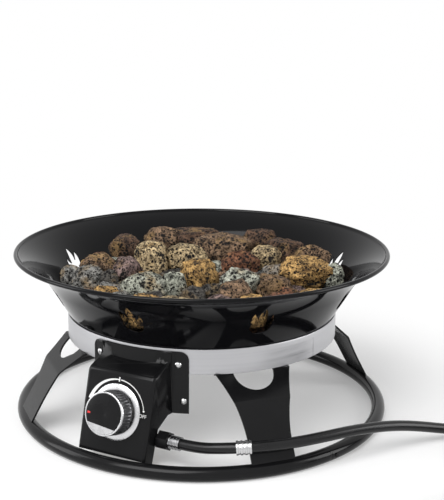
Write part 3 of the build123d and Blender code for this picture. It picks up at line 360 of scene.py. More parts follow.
def subtract(piece, cutters):
    """Cuts the cutters out of a piece and takes them away."""
    for cutter in cutters:
        cut = piece.modifiers.new("opening", "BOOLEAN")
        cut.operation = "DIFFERENCE"
        cut.object = cutter
        cut.solver = "EXACT"
    view = bpy.context.evaluated_depsgraph_get()
    cut_mesh = bpy.data.meshes.new_from_object(piece.evaluated_get(view))
    piece.modifiers.clear()
    piece.data = cut_mesh
    for cutter in cutters:
        bpy.data.objects.remove(cutter)


# Stage: pale floor that keeps the object's shadow, white surroundings
def seen_by_view(tree):
    """1 for what the camera, gloss and glass see, 0 for the light on the object."""
    rays = tree.nodes.new("ShaderNodeLightPath").outputs
    seen = blend(tree, "MAXIMUM", rays["Is Camera Ray"], rays["Is Glossy Ray"])
    return blend(tree, "MAXIMUM", seen, rays["Is Transmission Ray"])


def mix_shaders(tree, share, lit_shader, seen_shader, output):
    """Sends the lit shader to the output, and the other one by its share."""
    mix = tree.nodes.new("ShaderNodeMixShader")
    tree.links.new(share, mix.inputs["Fac"])
    tree.links.new(lit_shader.outputs[0], mix.inputs[1])
    tree.links.new(seen_shader.outputs[0], mix.inputs[2])
    tree.links.new(mix.outputs[0], tree.nodes[output].inputs["Surface"])


WORLD_LEVEL = 0.42
world = bpy.data.worlds.new("studio")
bpy.context.scene.world = world
world.use_nodes = True
world_tree = world.node_tree
lit = world_tree.nodes["Background"]
lit.inputs["Color"].default_value = WHITE
lit.inputs["Strength"].default_value = WORLD_LEVEL
white = world_tree.nodes.new("ShaderNodeBackground")
white.inputs["Color"].default_value = WHITE
white.inputs["Strength"].default_value = 1.0
mix_shaders(world_tree, seen_by_view(world_tree), lit, white, "World Output")

# Floor: it keeps the shadow near the object and is plain white to the eye farther out
FLOOR_HALF = 6.0
FLOOR_WHITE_SHARE = 0.26
SHADOW_REACH = 0.30
WHITE_REACH = 0.95
floor_material = finish("pale_floor", (0.96, 0.96, 0.96), (0.98, 0.98, 0.98), (0.70, 0.75), tone_scale=2.0)
floor_tree = floor_material.node_tree
glow = floor_tree.nodes.new("ShaderNodeEmission")
glow.inputs["Color"].default_value = WHITE
glow.inputs["Strength"].default_value = 1.0
floor_reach = floor_tree.nodes.new("ShaderNodeVectorMath")
floor_reach.operation = "LENGTH"
floor_tree.links.new(texture_place(floor_tree), floor_reach.inputs[0])
floor_white = spread(
    floor_tree, floor_reach.outputs["Value"], FLOOR_WHITE_SHARE, 1.0, SHADOW_REACH, WHITE_REACH
)
glow_share = blend(floor_tree, "MULTIPLY", seen_by_view(floor_tree), floor_white)
mix_shaders(floor_tree, glow_share, floor_tree.nodes["Principled BSDF"], glow, "Material Output")
floor_mesh = bpy.data.meshes.new("floor")
floor_corners = [
    (-FLOOR_HALF, -FLOOR_HALF, 0.0),
    (FLOOR_HALF, -FLOOR_HALF, 0.0),
    (FLOOR_HALF, FLOOR_HALF, 0.0),
    (-FLOOR_HALF, FLOOR_HALF, 0.0),
]
floor_mesh.from_pydata(floor_corners, [], [(0, 1, 2, 3)])
floor_mesh.materials.append(floor_material)
floor = bpy.data.objects.new("floor", floor_mesh)
bpy.context.scene.collection.objects.link(floor)


def softbox(name, place, aim, width, height, watts):
    """A rectangular lamp that faces its aim."""
    data = bpy.data.lights.new(name, "AREA")
    data.shape = "RECTANGLE"
    data.size = width
    data.size_y = height
    data.energy = watts
    lamp = bpy.data.objects.new(name, data)
    lamp.location = place
    lamp.rotation_euler = (Vector(aim) - Vector(place)).to_track_quat("-Z", "Y").to_euler()
    bpy.context.scene.collection.objects.link(lamp)


# Lamps: place and aim in metres, width, height and watts
LAMPS = (
    ("key_box", (-1.6, -2.4, 3.4), (0.0, 0.0, 0.10), 3.0, 3.0, 165.0),
    ("right_box", (3.2, -0.6, 1.2), (0.0, 0.0, 0.15), 1.4, 2.4, 55.0),
    ("left_box", (-3.2, -0.2, 1.2), (0.0, 0.0, 0.20), 1.4, 2.4, 45.0),
)
for lamp_row in LAMPS:
    softbox(*lamp_row)

# Hose: one cord from the ferrule over the ring, into the stored coil and on to the regulator
HOSE_RADIUS = 7.15
CORD_STEPS = 6
COIL_HEADING = 22.5
COIL_CENTRE = Vector((480.0, -185.6, 8.15))
COIL_STEP = 14.9
COIL_MEAN_RADIUS = 84.0
MIDDLE_HALF_TURN = 4
COIL_POINTS = 8
TAIL_RUN = 24.0
TAIL_TURN_SHARE = 0.12
HOSE_LEAD = 26.0
ENTRY_LEAD = 22.0
coil_outer = COIL_MEAN_RADIUS + COIL_STEP
coil_forward = Vector((math.cos(math.radians(COIL_HEADING)), math.sin(math.radians(COIL_HEADING)), 0.0))
coil_left = Vector((-coil_forward.y, coil_forward.x, 0.0))
coil_entry = COIL_CENTRE + coil_left * coil_outer


def coil_control(place, travel):
    """Control points of the stored coil: half turns about shifting centres, lifted at the middle one."""
    points = []
    lift = 0.0
    side = 1
    pull = math.cos(math.pi / (2 * COIL_POINTS))
    for half_turn in range(MIDDLE_HALF_TURN * 2 + 1):
        shrink = min(half_turn, MIDDLE_HALF_TURN * 2 - half_turn)
        radius = coil_outer - COIL_STEP * shrink / 2
        across_coil = coil_left * side
        centre = place - across_coil * radius
        for step in range(COIL_POINTS):
            share = (step + 0.5) / COIL_POINTS
            turn = math.pi * share
            point = centre + (across_coil * math.cos(turn) + travel * math.sin(turn)) * (radius / pull)
            if half_turn == MIDDLE_HALF_TURN:
                lift = COIL_STEP * share
            points.append(point + UP * lift)
        if half_turn == MIDDLE_HALF_TURN:
            lift = COIL_STEP
        place = place - across_coil * radius * 2
        travel = travel * -1.0
        side = -side
    return points, place + UP * lift, travel


ELBOW_CORNER = Vector((-102.031, -187.138, 36.0))
HOUSING_AZIMUTH = -28.6
across = sideways(HOUSING_AZIMUTH)
HOSE_START_OUT = 86.1
hose_start = ELBOW_CORNER + across * HOSE_START_OUT
hose_points = [
    hose_start,
    hose_start + across * HOSE_LEAD,
    Vector((25.0, -251.0, 40.5)),
    Vector((56.0, -255.0, 43.5)),
    Vector((90.0, -250.5, 44.5)),
    Vector((124.0, -238.5, 44.0)),
    Vector((158.0, -222.5, 44.0)),
    Vector((193.0, -204.0, 43.5)),
    Vector((228.0, -186.0, 41.0)),
    Vector((262.0, -168.0, 35.5)),
    Vector((294.0, -152.5, 27.5)),
    Vector((324.0, -139.5, 19.0)),
    Vector((352.0, -128.0, 12.0)),
    Vector((386.0, -117.0, 8.6)),
    coil_entry - coil_forward * ENTRY_LEAD,
]
coil_points, coil_exit, exit_travel = coil_control(coil_entry, coil_forward)
tail_side = exit_travel.cross(UP)
tail_points = [
    coil_exit + exit_travel * TAIL_RUN,
    coil_exit + exit_travel * TAIL_RUN * 2 + tail_side * TAIL_RUN * TAIL_TURN_SHARE,
    coil_exit + exit_travel * TAIL_RUN * 3 + tail_side * TAIL_RUN * TAIL_TURN_SHARE * 3,
]
route = hose_points + coil_points + tail_points


def cord_line(name, points):
    """A curve through the control points, and the points of its centre line in metres."""
    data = bpy.data.curves.new(name, "CURVE")
    data.dimensions = "3D"
    data.resolution_u = CORD_STEPS
    spline = data.splines.new("NURBS")
    spline.points.add(len(points) - 1)
    for control, point in zip(spline.points, points):
        control.co = (*(point * MM), 1.0)
    spline.order_u = 3
    spline.use_endpoint_u = True
    cord = bpy.data.objects.new(name, data)
    bpy.context.scene.collection.objects.link(cord)
    view = bpy.context.evaluated_depsgraph_get()
    line_mesh = bpy.data.meshes.new_from_object(cord.evaluated_get(view))
    line = [vertex.co.copy() for vertex in line_mesh.vertices]
    bpy.data.meshes.remove(line_mesh)
    return cord, line


def line_place(line, distance):
    """The point and direction at a distance along the line, in metres."""
    for first, second in zip(line, line[1:]):
        step = (second - first).length
        if distance <= step:
            return first.lerp(second, distance / step), (second - first).normalized()
        distance -= step
    return line[-1], (line[-1] - line[-2]).normalized()


def axis_place(origin, direction):
    """A matrix whose z axis runs along the direction."""
    side = direction.cross(UP).normalized()
    lift = side.cross(direction)
    axes = Matrix((side, lift, direction)).transposed().to_4x4()
    return Matrix.Translation(origin) @ axes


hose, hose_line = cord_line("hose_cord", route)
hose.data.bevel_depth = HOSE_RADIUS * MM
hose.data.bevel_resolution = CORD_STEPS
hose.data.use_fill_caps = True
hose.data.materials.append(rubber)
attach(hose, "base")
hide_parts("gas_hose", "hose_coil", "hose_tail")

# Bright ribbed collar on the hose
COLLAR_DISTANCE = 84.3
COLLAR_RADIUS = 9.4
COLLAR_BORE = 7.65
COLLAR_LENGTH = 19.5
COLLAR_RIDGES = 4
COLLAR_GROOVE = 0.8
COLLAR_ROUND = 0.35
collar_middle, collar_direction = line_place(hose_line, COLLAR_DISTANCE * MM)
ridge = COLLAR_LENGTH / (COLLAR_RIDGES * 2 - 1)
collar_profile = [(COLLAR_BORE, 0.0), (COLLAR_RADIUS, 0.0)]
for index in range(COLLAR_RIDGES - 1):
    left = ridge * (index * 2 + 1)
    collar_profile.append((COLLAR_RADIUS, left))
    collar_profile.append((COLLAR_RADIUS - COLLAR_GROOVE, left))
    collar_profile.append((COLLAR_RADIUS - COLLAR_GROOVE, left + ridge))
    collar_profile.append((COLLAR_RADIUS, left + ridge))
collar_profile.append((COLLAR_RADIUS, COLLAR_LENGTH))
collar_profile.append((COLLAR_BORE, COLLAR_LENGTH))
collar_place = axis_place(collar_middle - collar_direction * COLLAR_LENGTH * MM / 2, collar_direction)
collar_profile = rounded(collar_profile, COLLAR_ROUND, steps=3)
collar = spin("collar_finish", collar_profile, collar_place, zinc, segments=48, slot="zinc_steel")
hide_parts("hose_collar")

# Bowl: spun sheet with rounded floor, conical wall, flare and rolled rim
BOWL_WALL = 1.5
FLOOR_HEIGHT = 122.0
WALL_LEAN = 30.54
WALL_FOOT = (192.0, 150.2)
FLARE_START_HEIGHT = 195.0
RIM_RADIUS = 266.7
RIM_HEIGHT = 239.2
BEAD_RADIUS = 3.0
CORNER_RADIUS = 22.0
CENTRE_GAP = 0.5
CORNER_STEPS = 8
FLARE_STEPS = 16
BEAD_STEPS = 18
SHEET_SHARP = 40.0
CENTRE_PLACE = Matrix.Identity(4)


def wall_radius(height):
    """Outer radius of the bowl's conical wall at a height."""
    return WALL_FOOT[0] + (height - WALL_FOOT[1]) * math.tan(math.radians(WALL_LEAN))


def bowl_profile():
    """Half section of the bowl: inside up to the rim's bead, round it and down the outside."""
    wall_turn = 90.0 - WALL_LEAN
    corner_x = wall_radius(FLOOR_HEIGHT) - CORNER_RADIUS * math.tan(math.radians(wall_turn / 2))
    corner = (corner_x, FLOOR_HEIGHT + CORNER_RADIUS)
    start = Vector((wall_radius(FLARE_START_HEIGHT), FLARE_START_HEIGHT))
    bead = Vector((RIM_RADIUS - BEAD_RADIUS, RIM_HEIGHT - BEAD_RADIUS))
    lean = math.radians(WALL_LEAN)
    normal = Vector((math.cos(lean), -math.sin(lean)))
    chord = bead - start
    flare_radius = chord.length_squared / (2 * chord.dot(normal))
    centre = start + normal * flare_radius
    first = math.degrees(math.atan2(start.y - centre.y, start.x - centre.x))
    last = math.degrees(math.atan2(bead.y - centre.y, bead.x - centre.x))
    reach = math.sqrt(BEAD_RADIUS**2 - BOWL_WALL**2)
    outer_last = last + math.degrees(BEAD_RADIUS / flare_radius)
    inner_last = last + math.degrees(reach / flare_radius)
    heading = last - 90.0
    bead_open = heading + 180.0
    inner = flare_radius + BOWL_WALL
    inside = arc(corner, CORNER_RADIUS - BOWL_WALL, -90.0, -WALL_LEAN, CORNER_STEPS)
    inside += arc(centre, inner, first, inner_last, FLARE_STEPS)
    bead_start = bead_open - math.degrees(math.asin(BOWL_WALL / BEAD_RADIUS))
    rim = arc(bead, BEAD_RADIUS, bead_start, bead_open - 360.0, BEAD_STEPS)
    outside = arc(centre, flare_radius, outer_last, first, FLARE_STEPS)
    outside += arc(corner, CORNER_RADIUS, -WALL_LEAN, -90.0, CORNER_STEPS)
    floor_top = (CENTRE_GAP, FLOOR_HEIGHT + BOWL_WALL)
    floor_under = (CENTRE_GAP, FLOOR_HEIGHT)
    return [floor_top] + inside + rim + outside[1:] + [floor_under]


bowl = spin("bowl_finish", bowl_profile(), CENTRE_PLACE, enamel, segments=240, slot="black_enamel",
            sharp=SHEET_SHARP)

# Flame cut-outs: half-width and height shares of each end point and of the point its arc passes
FLAME_COUNT = 8
FLAME_AZIMUTH = 20.5
FLAME_WIDTH = 29.0
FLAME_HEIGHT = 48.0
FLAME_MIDDLE = 192.0
FLAME_DEPTH = 12.0
FLAME_STEPS = 8
flame_shares = (
    ((1.00, 0.34), (0.72, 0.08)),
    ((0.86, 0.72), (1.06, 0.55)),
    ((0.44, 0.46), (0.72, 0.55)),
    ((0.02, 1.00), (0.34, 0.74)),
    ((-0.36, 0.52), (-0.34, 0.78)),
    ((-0.88, 0.80), (-0.56, 0.64)),
    ((-1.00, 0.36), (-1.08, 0.58)),
    ((0.00, 0.00), (-0.72, 0.08)),
)


def three_point_arc(start, through, end, steps):
    """Points of the circle's arc from the start through a point to the end, without the start."""
    a, b, c = Vector(start), Vector(through), Vector(end)
    turn = 2 * (a.x * (b.y - c.y) + b.x * (c.y - a.y) + c.x * (a.y - b.y))
    a_square, b_square, c_square = a.length_squared, b.length_squared, c.length_squared
    x = (a_square * (b.y - c.y) + b_square * (c.y - a.y) + c_square * (a.y - b.y)) / turn
    y = (a_square * (c.x - b.x) + b_square * (a.x - c.x) + c_square * (b.x - a.x)) / turn
    centre = Vector((x, y))
    radius = (a - centre).length
    angles = [math.atan2(p.y - y, p.x - x) for p in (a, b, c)]
    sweep = (angles[2] - angles[0]) % math.tau
    if (angles[1] - angles[0]) % math.tau > sweep:
        sweep -= math.tau
    points = []
    for step in range(1, steps + 1):
        turn = angles[0] + sweep * step / steps
        points.append((x + radius * math.cos(turn), y + radius * math.sin(turn)))
    return points


def flame_outline():
    """The flame-shaped opening as a closed outline, in millimetres."""
    points = []
    start = (0.0, -FLAME_HEIGHT / 2)
    for end_share, through_share in flame_shares:
        end = (end_share[0] * FLAME_WIDTH / 2, (end_share[1] - 0.5) * FLAME_HEIGHT)
        through = (through_share[0] * FLAME_WIDTH / 2, (through_share[1] - 0.5) * FLAME_HEIGHT)
        points += three_point_arc(start, through, end, FLAME_STEPS)
        start = end
    return points


def prism(name, outline, place, low, high):
    """A closed block over an outline, from low to high along the place's z axis."""
    vertices = [place @ (Vector((x, y, low)) * MM) for x, y in outline]
    vertices += [place @ (Vector((x, y, high)) * MM) for x, y in outline]
    count = len(outline)
    faces = [tuple(reversed(range(count))), tuple(range(count, count * 2))]
    for index in range(count):
        follow = (index + 1) % count
        faces.append((index, follow, count + follow, count + index))
    mesh = bpy.data.meshes.new(name)
    mesh.from_pydata(vertices, [], faces)
    block = bpy.data.objects.new(name, mesh)
    bpy.context.scene.collection.objects.link(block)
    return block


def wall_place(azimuth, height):
    """A place on the bowl's wall with x sideways, y up the wall and z out of it."""
    lean = math.radians(WALL_LEAN)
    normal = outward(azimuth) * math.cos(lean) - UP * math.sin(lean)
    side = sideways(azimuth)
    axes = Matrix((side, normal.cross(side), normal)).transposed().to_4x4()
    middle = outward(azimuth) * wall_radius(height) + UP * height
    return Matrix.Translation(middle * MM) @ axes


flame_cutters = []
for index in range(FLAME_COUNT):
    place = wall_place(FLAME_AZIMUTH + index * 360.0 / FLAME_COUNT, FLAME_MIDDLE)
    flame_cutters.append(prism("flame_cutter", flame_outline(), place, -FLAME_DEPTH, FLAME_DEPTH))
subtract(bowl, flame_cutters)
bowl.data.set_sharp_from_angle(angle=math.radians(SHEET_SHARP))
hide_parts("bowl")

# Support band with softly rolled edges and one lap seam
BAND_RADIUS = 193.6
BAND_WALL = 1.5
BAND_BOTTOM = 116.5
BAND_TOP = 150.2
SEAM_AZIMUTH = 51.0
SEAM_WIDTH = 0.9
SEAM_DEPTH = 0.6
BAND_ROUND = 0.5
band_profile = [
    (BAND_RADIUS - BAND_WALL, BAND_BOTTOM),
    (BAND_RADIUS, BAND_BOTTOM),
    (BAND_RADIUS, BAND_TOP),
    (BAND_RADIUS - BAND_WALL, BAND_TOP),
]


def azimuth_past(turn, mark):
    """How far a turn about the z axis lies past an azimuth, in degrees from -180 to 180."""
    return (math.degrees(turn) + 90.0 - mark + 180.0) % 360.0 - 180.0


def seamed(radius, height, turn):
    """Pulls the outer skin in at the seam's line."""
    away = azimuth_past(turn, SEAM_AZIMUTH)
    if radius < BAND_RADIUS - BAND_WALL / 2:
        return radius
    if -SEAM_WIDTH < away < 0.0:
        return radius - SEAM_DEPTH
    return radius


band_profile = rounded(band_profile, BAND_ROUND, steps=3)
band = spin("band_finish", band_profile, CENTRE_PLACE, satin, segments=720, shape=seamed,
            slot="satin_band", sharp=SHEET_SHARP)
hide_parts("support_band")

# Base ring with its splice line
RING_RADIUS = 259.7
RING_TUBE = 9.5
SPLICE_AZIMUTH = 39.0
SPLICE_WIDTH = 0.5
SPLICE_DEPTH = 0.5
CIRCLE_STEPS = 23
CIRCLE_END = 345.0


def spliced(radius, height, turn):
    """Draws the tube in at the splice's line."""
    if abs(azimuth_past(turn, SPLICE_AZIMUTH)) < SPLICE_WIDTH / 2:
        pull = 1.0 - SPLICE_DEPTH / RING_TUBE
        return RING_RADIUS + (radius - RING_RADIUS) * pull
    return radius


ring_profile = arc((RING_RADIUS, RING_TUBE), RING_TUBE, 0.0, CIRCLE_END, CIRCLE_STEPS)
ring = spin("ring_finish", ring_profile, CENTRE_PLACE, paint, segments=1080, shape=spliced,
            slot="black_paint")
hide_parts("base_ring")

# Valve axis, straight out of the housing's leaning panel
PANEL_MIDDLE = Vector((-111.057, -203.692, 69.4))
PANEL_LEAN = 15.3
panel_lean = math.radians(PANEL_LEAN)
panel_out = outward(HOUSING_AZIMUTH) * math.cos(panel_lean) + UP * math.sin(panel_lean)
panel_up = UP * math.cos(panel_lean) - outward(HOUSING_AZIMUTH) * math.sin(panel_lean)
panel_axes = Matrix((across, panel_up, panel_out)).transposed().to_4x4()
panel_place = Matrix.Translation(PANEL_MIDDLE * MM) @ panel_axes

# Dial: bright ring that falls softly to its edge
BEZEL_RADIUS = 36.7
BEZEL_BORE = 8.0
BEZEL_BACK = 0.1
BEZEL_PLATE = 0.9
BEZEL_ROUND = 1.2
BEZEL_FALL = ((0.0, 0.7), (2.4, 1.9), (5.4, 2.7), (9.0, 3.0), (11.0, BEZEL_PLATE))
bezel_profile = [(BEZEL_BORE, BEZEL_BACK), (BEZEL_RADIUS, BEZEL_BACK)]
bezel_profile += [(BEZEL_RADIUS - inset, height) for inset, height in BEZEL_FALL]
bezel_profile.append((BEZEL_BORE, BEZEL_PLATE))
bezel_profile = rounded(bezel_profile, BEZEL_ROUND)
bezel = spin("bezel_finish", bezel_profile, panel_place, aluminium, segments=128, slot="aluminium")
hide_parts("dial_bezel")

# Knob: fluted shell, bright front edge and a plain disc with a bright lower segment
KNOB_RADIUS = 29.2
KNOB_FACE_RADIUS = 28.0
KNOB_BACK = 7.0
KNOB_FRONT = 28.3
KNOB_BORE = 4.1
KNOB_HUB_RADIUS = 9.0
KNOB_HUB_BACK = 13.0
KNOB_ROOM_RADIUS = 25.4
KNOB_ROOM_HEIGHT = 23.1
KNOB_SKIRT_WALL = 2.6
KNOB_SHARP = 50.0
FLUTE_COUNT = 40
FLUTE_DEPTH = 0.9
FLUTE_MARGIN = 2.6
FLUTE_FACES = 8
FLUTE_SHAPE = 0.6
FLUTE_LOW = KNOB_BACK + FLUTE_MARGIN
FLUTE_HIGH = KNOB_FRONT - FLUTE_MARGIN
CAP_RADIUS = 26.0
CAP_GAP = 0.1
CAP_CENTRE = 0.4
CAP_DEPTH = 1.1
CAP_RISE = 0.1
CAP_ROUND = 0.2
SEAT_DEPTH = 1.2
EDGE_DEPTH = 0.8
knob_profile = [
    (KNOB_BORE, KNOB_HUB_BACK),
    (KNOB_HUB_RADIUS, KNOB_HUB_BACK),
    (KNOB_HUB_RADIUS, KNOB_ROOM_HEIGHT),
    (KNOB_ROOM_RADIUS, KNOB_ROOM_HEIGHT),
    (KNOB_RADIUS - KNOB_SKIRT_WALL, KNOB_BACK),
    (KNOB_RADIUS, KNOB_BACK),
    (KNOB_RADIUS - 0.3, FLUTE_LOW),
    (KNOB_RADIUS - 0.35, FLUTE_LOW + 0.6),
    (KNOB_FACE_RADIUS + 0.45, FLUTE_HIGH - 1.0),
    (KNOB_FACE_RADIUS + 0.35, FLUTE_HIGH),
    (KNOB_FACE_RADIUS - 0.2, KNOB_FRONT - EDGE_DEPTH),
    (CAP_RADIUS + CAP_GAP, KNOB_FRONT - EDGE_DEPTH),
    (CAP_RADIUS + CAP_GAP, KNOB_FRONT - SEAT_DEPTH),
    (KNOB_BORE, KNOB_FRONT - SEAT_DEPTH),
]


def fluted(radius, height, turn):
    """Cuts rounded flutes into the knob's side, between its back and its face."""
    if radius < KNOB_FACE_RADIUS or not FLUTE_LOW + 0.3 < height < FLUTE_HIGH - 0.5:
        return radius
    wave = 0.5 + 0.5 * math.cos(turn * FLUTE_COUNT)
    return radius - FLUTE_DEPTH * (1.0 - wave**FLUTE_SHAPE)


knob = spin("knob_finish", knob_profile, panel_place, knob_grey, segments=FLUTE_COUNT * FLUTE_FACES,
            shape=fluted, body="knob", slot="aluminium", sharp=KNOB_SHARP)
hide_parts("control_knob")
edge_profile = [
    (CAP_RADIUS + CAP_GAP, KNOB_FRONT - 0.9),
    (CAP_RADIUS + CAP_GAP, KNOB_FRONT),
    (KNOB_FACE_RADIUS - 0.6, KNOB_FRONT),
    (KNOB_FACE_RADIUS + 0.05, KNOB_FRONT - 0.35),
    (KNOB_FACE_RADIUS + 0.55, FLUTE_HIGH + 0.2),
    (KNOB_FACE_RADIUS + 0.45, FLUTE_HIGH),
]
edge_profile = rounded(edge_profile, CAP_ROUND, steps=2)
spin("knob_edge", edge_profile, panel_place, aluminium, segments=128, body="knob", slot="aluminium")
cap_profile = [
    (CAP_CENTRE, KNOB_FRONT - CAP_DEPTH),
    (CAP_RADIUS, KNOB_FRONT - CAP_DEPTH),
    (CAP_RADIUS, KNOB_FRONT + CAP_RISE),
    (CAP_CENTRE, KNOB_FRONT + CAP_RISE),
]
cap_profile = rounded(cap_profile, CAP_ROUND, steps=2)
cap = spin("cap_finish", cap_profile, panel_place, plastic, segments=96, body="knob", slot="black_plastic")
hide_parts("knob_cap")


def flat_piece(name, outline, place, height, thickness, material, body):
    """A thin plate over an outline, as printed or inlaid."""
    block = prism(name, outline, place, height, height + thickness)
    mesh = block.data
    bpy.data.objects.remove(block)
    return link_piece(name, mesh, material, body)


# The cap's inlays: a bright segment below a slanting chord, and the pointer at its left
CHORD_LEFT = math.degrees(math.atan2(-13.2, -22.0))
CHORD_RIGHT = math.degrees(math.atan2(-15.9, 16.6))
INLAY_RADIUS = 25.8
INLAY_LIFT = 0.09
INLAY_THICKNESS = 0.1
INLAY_STEPS = 24
POINTER = ((-23.9, -2.9), (-19.6, -2.2), (-19.6, -0.6), (-23.9, 0.2))
segment_outline = arc((0.0, 0.0), INLAY_RADIUS, CHORD_LEFT, CHORD_RIGHT, INLAY_STEPS)
for name, outline, material, slot in (
    ("cap_segment", segment_outline, aluminium, "aluminium"),
    ("cap_pointer", POINTER, pointer_red, None),
):
    flat_piece(name, outline, panel_place, KNOB_FRONT + INLAY_LIFT, INLAY_THICKNESS, material, "knob")


def arc_mark(radius, width_start, width_end, start, end, steps=32):
    """Outline of an arc-shaped mark whose width changes along it."""
    outer = []
    inner = []
    for step in range(steps + 1):
        share = step / steps
        turn = math.radians(start + (end - start) * share)
        width = width_start + (width_end - width_start) * share
        outer.append(((radius + width / 2) * math.cos(turn), (radius + width / 2) * math.sin(turn)))
        inner.append(((radius - width / 2) * math.cos(turn), (radius - width / 2) * math.sin(turn)))
    return outer + inner[::-1]


# Printed scale on the panel: a thin and a widening arc, a tick between them and a dot at the off end.
# Each arc has its widths and its angles at both ends.
THIN_ARC = (0.9, 1.3, 14.0, 87.0)
WIDE_ARC = (1.4, 5.4, 91.0, 165.0)
PRINT_THICKNESS = 0.08
PRINT_LIFT = 0.02
DIAL_ARC_RADIUS = 42.0
TICK_HALF_WIDTH = 0.9
TICK_LOW = DIAL_ARC_RADIUS - 2.6
TICK_HIGH = DIAL_ARC_RADIUS + 3.2
DOT_RADIUS = 1.3
DOT_TURN = 0.2
tick_mark = [
    (-TICK_HALF_WIDTH, TICK_LOW),
    (TICK_HALF_WIDTH, TICK_LOW),
    (TICK_HALF_WIDTH, TICK_HIGH),
    (-TICK_HALF_WIDTH, TICK_HIGH),
]
dot_centre = (DIAL_ARC_RADIUS * math.cos(DOT_TURN), DIAL_ARC_RADIUS * math.sin(DOT_TURN))
for name, mark in (
    ("dial_thin", arc_mark(DIAL_ARC_RADIUS, *THIN_ARC)),
    ("dial_wide", arc_mark(DIAL_ARC_RADIUS, *WIDE_ARC)),
    ("dial_tick", tick_mark),
    ("dial_dot", arc(dot_centre, DOT_RADIUS, 0.0, CIRCLE_END, CIRCLE_STEPS)),
):
    flat_piece(name, mark, panel_place, PRINT_LIFT, PRINT_THICKNESS, print_white, "base")

WORD_SIZE = 6.4
WORD_PLACE = Vector((40.5, -0.2, 0.06))
word = bpy.data.curves.new("off_word", "FONT")
word.body = "OFF"
word.size = WORD_SIZE * MM
word.extrude = PRINT_THICKNESS / 2 * MM
word.align_x = "CENTER"
word.materials.append(print_white)
off_word = bpy.data.objects.new("off_word", word)
off_word.matrix_world = panel_place @ Matrix.Translation(WORD_PLACE * MM)
bpy.context.scene.collection.objects.link(off_word)
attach(off_word, "base")

# Legs: softened copies of their nodes, as are the pieces after them
for node in ("leg_front", "leg_right", "leg_rear", "leg_left"):
    dress(node, paint, bevel=0.5)

# Housing: its long side folds are rounder than its other edges, and lie between these distances,
# to the side, along the panel's axis and in height
HOUSING_SHARP = 30.0
FOLD_ANGLE = 60.0
FOLD_RADIUS = 4.2
FOLD_ASIDE_LOW = 44.0
FOLD_ASIDE_HIGH = 58.0
FACE_REACH = 239.5
FOLD_LIP = 17.0
FOLD_TOP = 112.0


def housing_fold(edge):
    """Whether an edge is one of the side folds, beside the leaning face and the top slope."""
    if len(edge.link_faces) != 2 or math.degrees(edge.calc_face_angle()) < FOLD_ANGLE:
        return False
    low = True
    for vertex in edge.verts:
        point = vertex.co / MM
        out = point.dot(outward(HOUSING_AZIMUTH))
        aside = abs(point.dot(across))
        reach = out * math.cos(panel_lean) + point.z * math.sin(panel_lean)
        if not FOLD_ASIDE_LOW < aside < FOLD_ASIDE_HIGH or (reach < FACE_REACH and point.z < FOLD_TOP):
            return False
        low = low and point.z < FOLD_LIP
    return not low


dress("valve_housing", paint, bevel=0.0, sharp=HOUSING_SHARP, folds=housing_fold,
      fold_radius=FOLD_RADIUS)

# Small pieces: material, body, width of the softened edge and slot
SMALL_PIECES = (
    ("housing_screws", zinc, "base", 0.0, "zinc_steel"),
    ("ring_screw", paint, "base", 0.0, "zinc_steel"),
    ("hose_nut", paint, "base", 0.5, "black_paint"),
    ("hose_ferrule", ferrule_steel, "base", 0.25, "zinc_steel"),
    ("tail_ferrule", ferrule_steel, "base", 0.25, "zinc_steel"),
    ("coil_ties", plastic, "base", 0.1, "black_plastic"),
    ("regulator_body", zinc, "base", 0.6, "zinc_steel"),
    ("regulator_cover", plastic, "base", 0.6, "black_plastic"),
    ("tank_nipple", brass, "base", 0.3, "brass"),
    ("tank_nut", plastic, "tank_nut", 0.5, "black_plastic"),
)
for node, material, body, soft_edge, slot in SMALL_PIECES:
    dress(node, material, body=body, bevel=soft_edge)

# Return spring, which gives way as the knob is pressed
spring = dress("stem_spring", zinc, bevel=0.0)
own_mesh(spring)

# Lava rocks: tumbled, angular and porous lumps, in one mesh for each stone, which has a dark and a
# light colour
STONES = {
    "grey_green": ((0.077, 0.081, 0.066), (0.645, 0.660, 0.547)),
    "grey": ((0.042, 0.042, 0.039), (0.360, 0.352, 0.330)),
    "brown": ((0.049, 0.031, 0.020), (0.360, 0.232, 0.143)),
    "ochre": ((0.084, 0.045, 0.017), (0.780, 0.480, 0.180)),
    "tan": ((0.084, 0.059, 0.034), (0.780, 0.600, 0.345)),
    "dark": ((0.017, 0.017, 0.017), (0.135, 0.123, 0.108)),
    "dark_brown": ((0.020, 0.013, 0.010), (0.180, 0.105, 0.068)),
    "red_brown": ((0.042, 0.017, 0.011), (0.300, 0.135, 0.075)),
    "pinkish": ((0.056, 0.036, 0.034), (0.330, 0.232, 0.210)),
}
# Painted shade: the pores, which are only bumped, are coloured near black for the shade inside them
PORE_SHADE = (0.006, 0.005, 0.005)
STAIN = (0.360, 0.230, 0.090)
# Stains and patches: scale, and the noise between which they come in
STAIN_SCALE = 34.0
STAIN_ROUGHNESS = 0.55
STAIN_SHARE = 0.55
STAIN_EDGE = (0.52, 0.70)
PATCH_SCALE = 90.0
PATCH_DETAIL = 6.0
PATCH_ROUGHNESS = 0.7
PATCH_EDGE = (0.36, 0.64)
# Pores: scale of their cells, and the distances at which a pore ends and the stone is full
WIDE_PORES = (190.0, 0.24, 0.40)
FINE_PORES = (420.0, 0.20, 0.42)
PORE_DRIFT_SCALE = 0.3
PORE_DRIFT = (0.55, 1.45)
STONE_ROUGHNESS = 0.88
STONE_SPECULAR = 0.25
STONE_GRAIN_SCALE = 900.0
STONE_GRAIN_SHARE = 0.45
STONE_RELIEF = 0.0022
# Painted shade: the stones darken to this share from the bed's high level down to its low one, in metres,
# for the shade between and under the rocks
BED_SHADE_SHARE = 0.18
BED_LOW = 0.164
BED_HIGH = 0.200


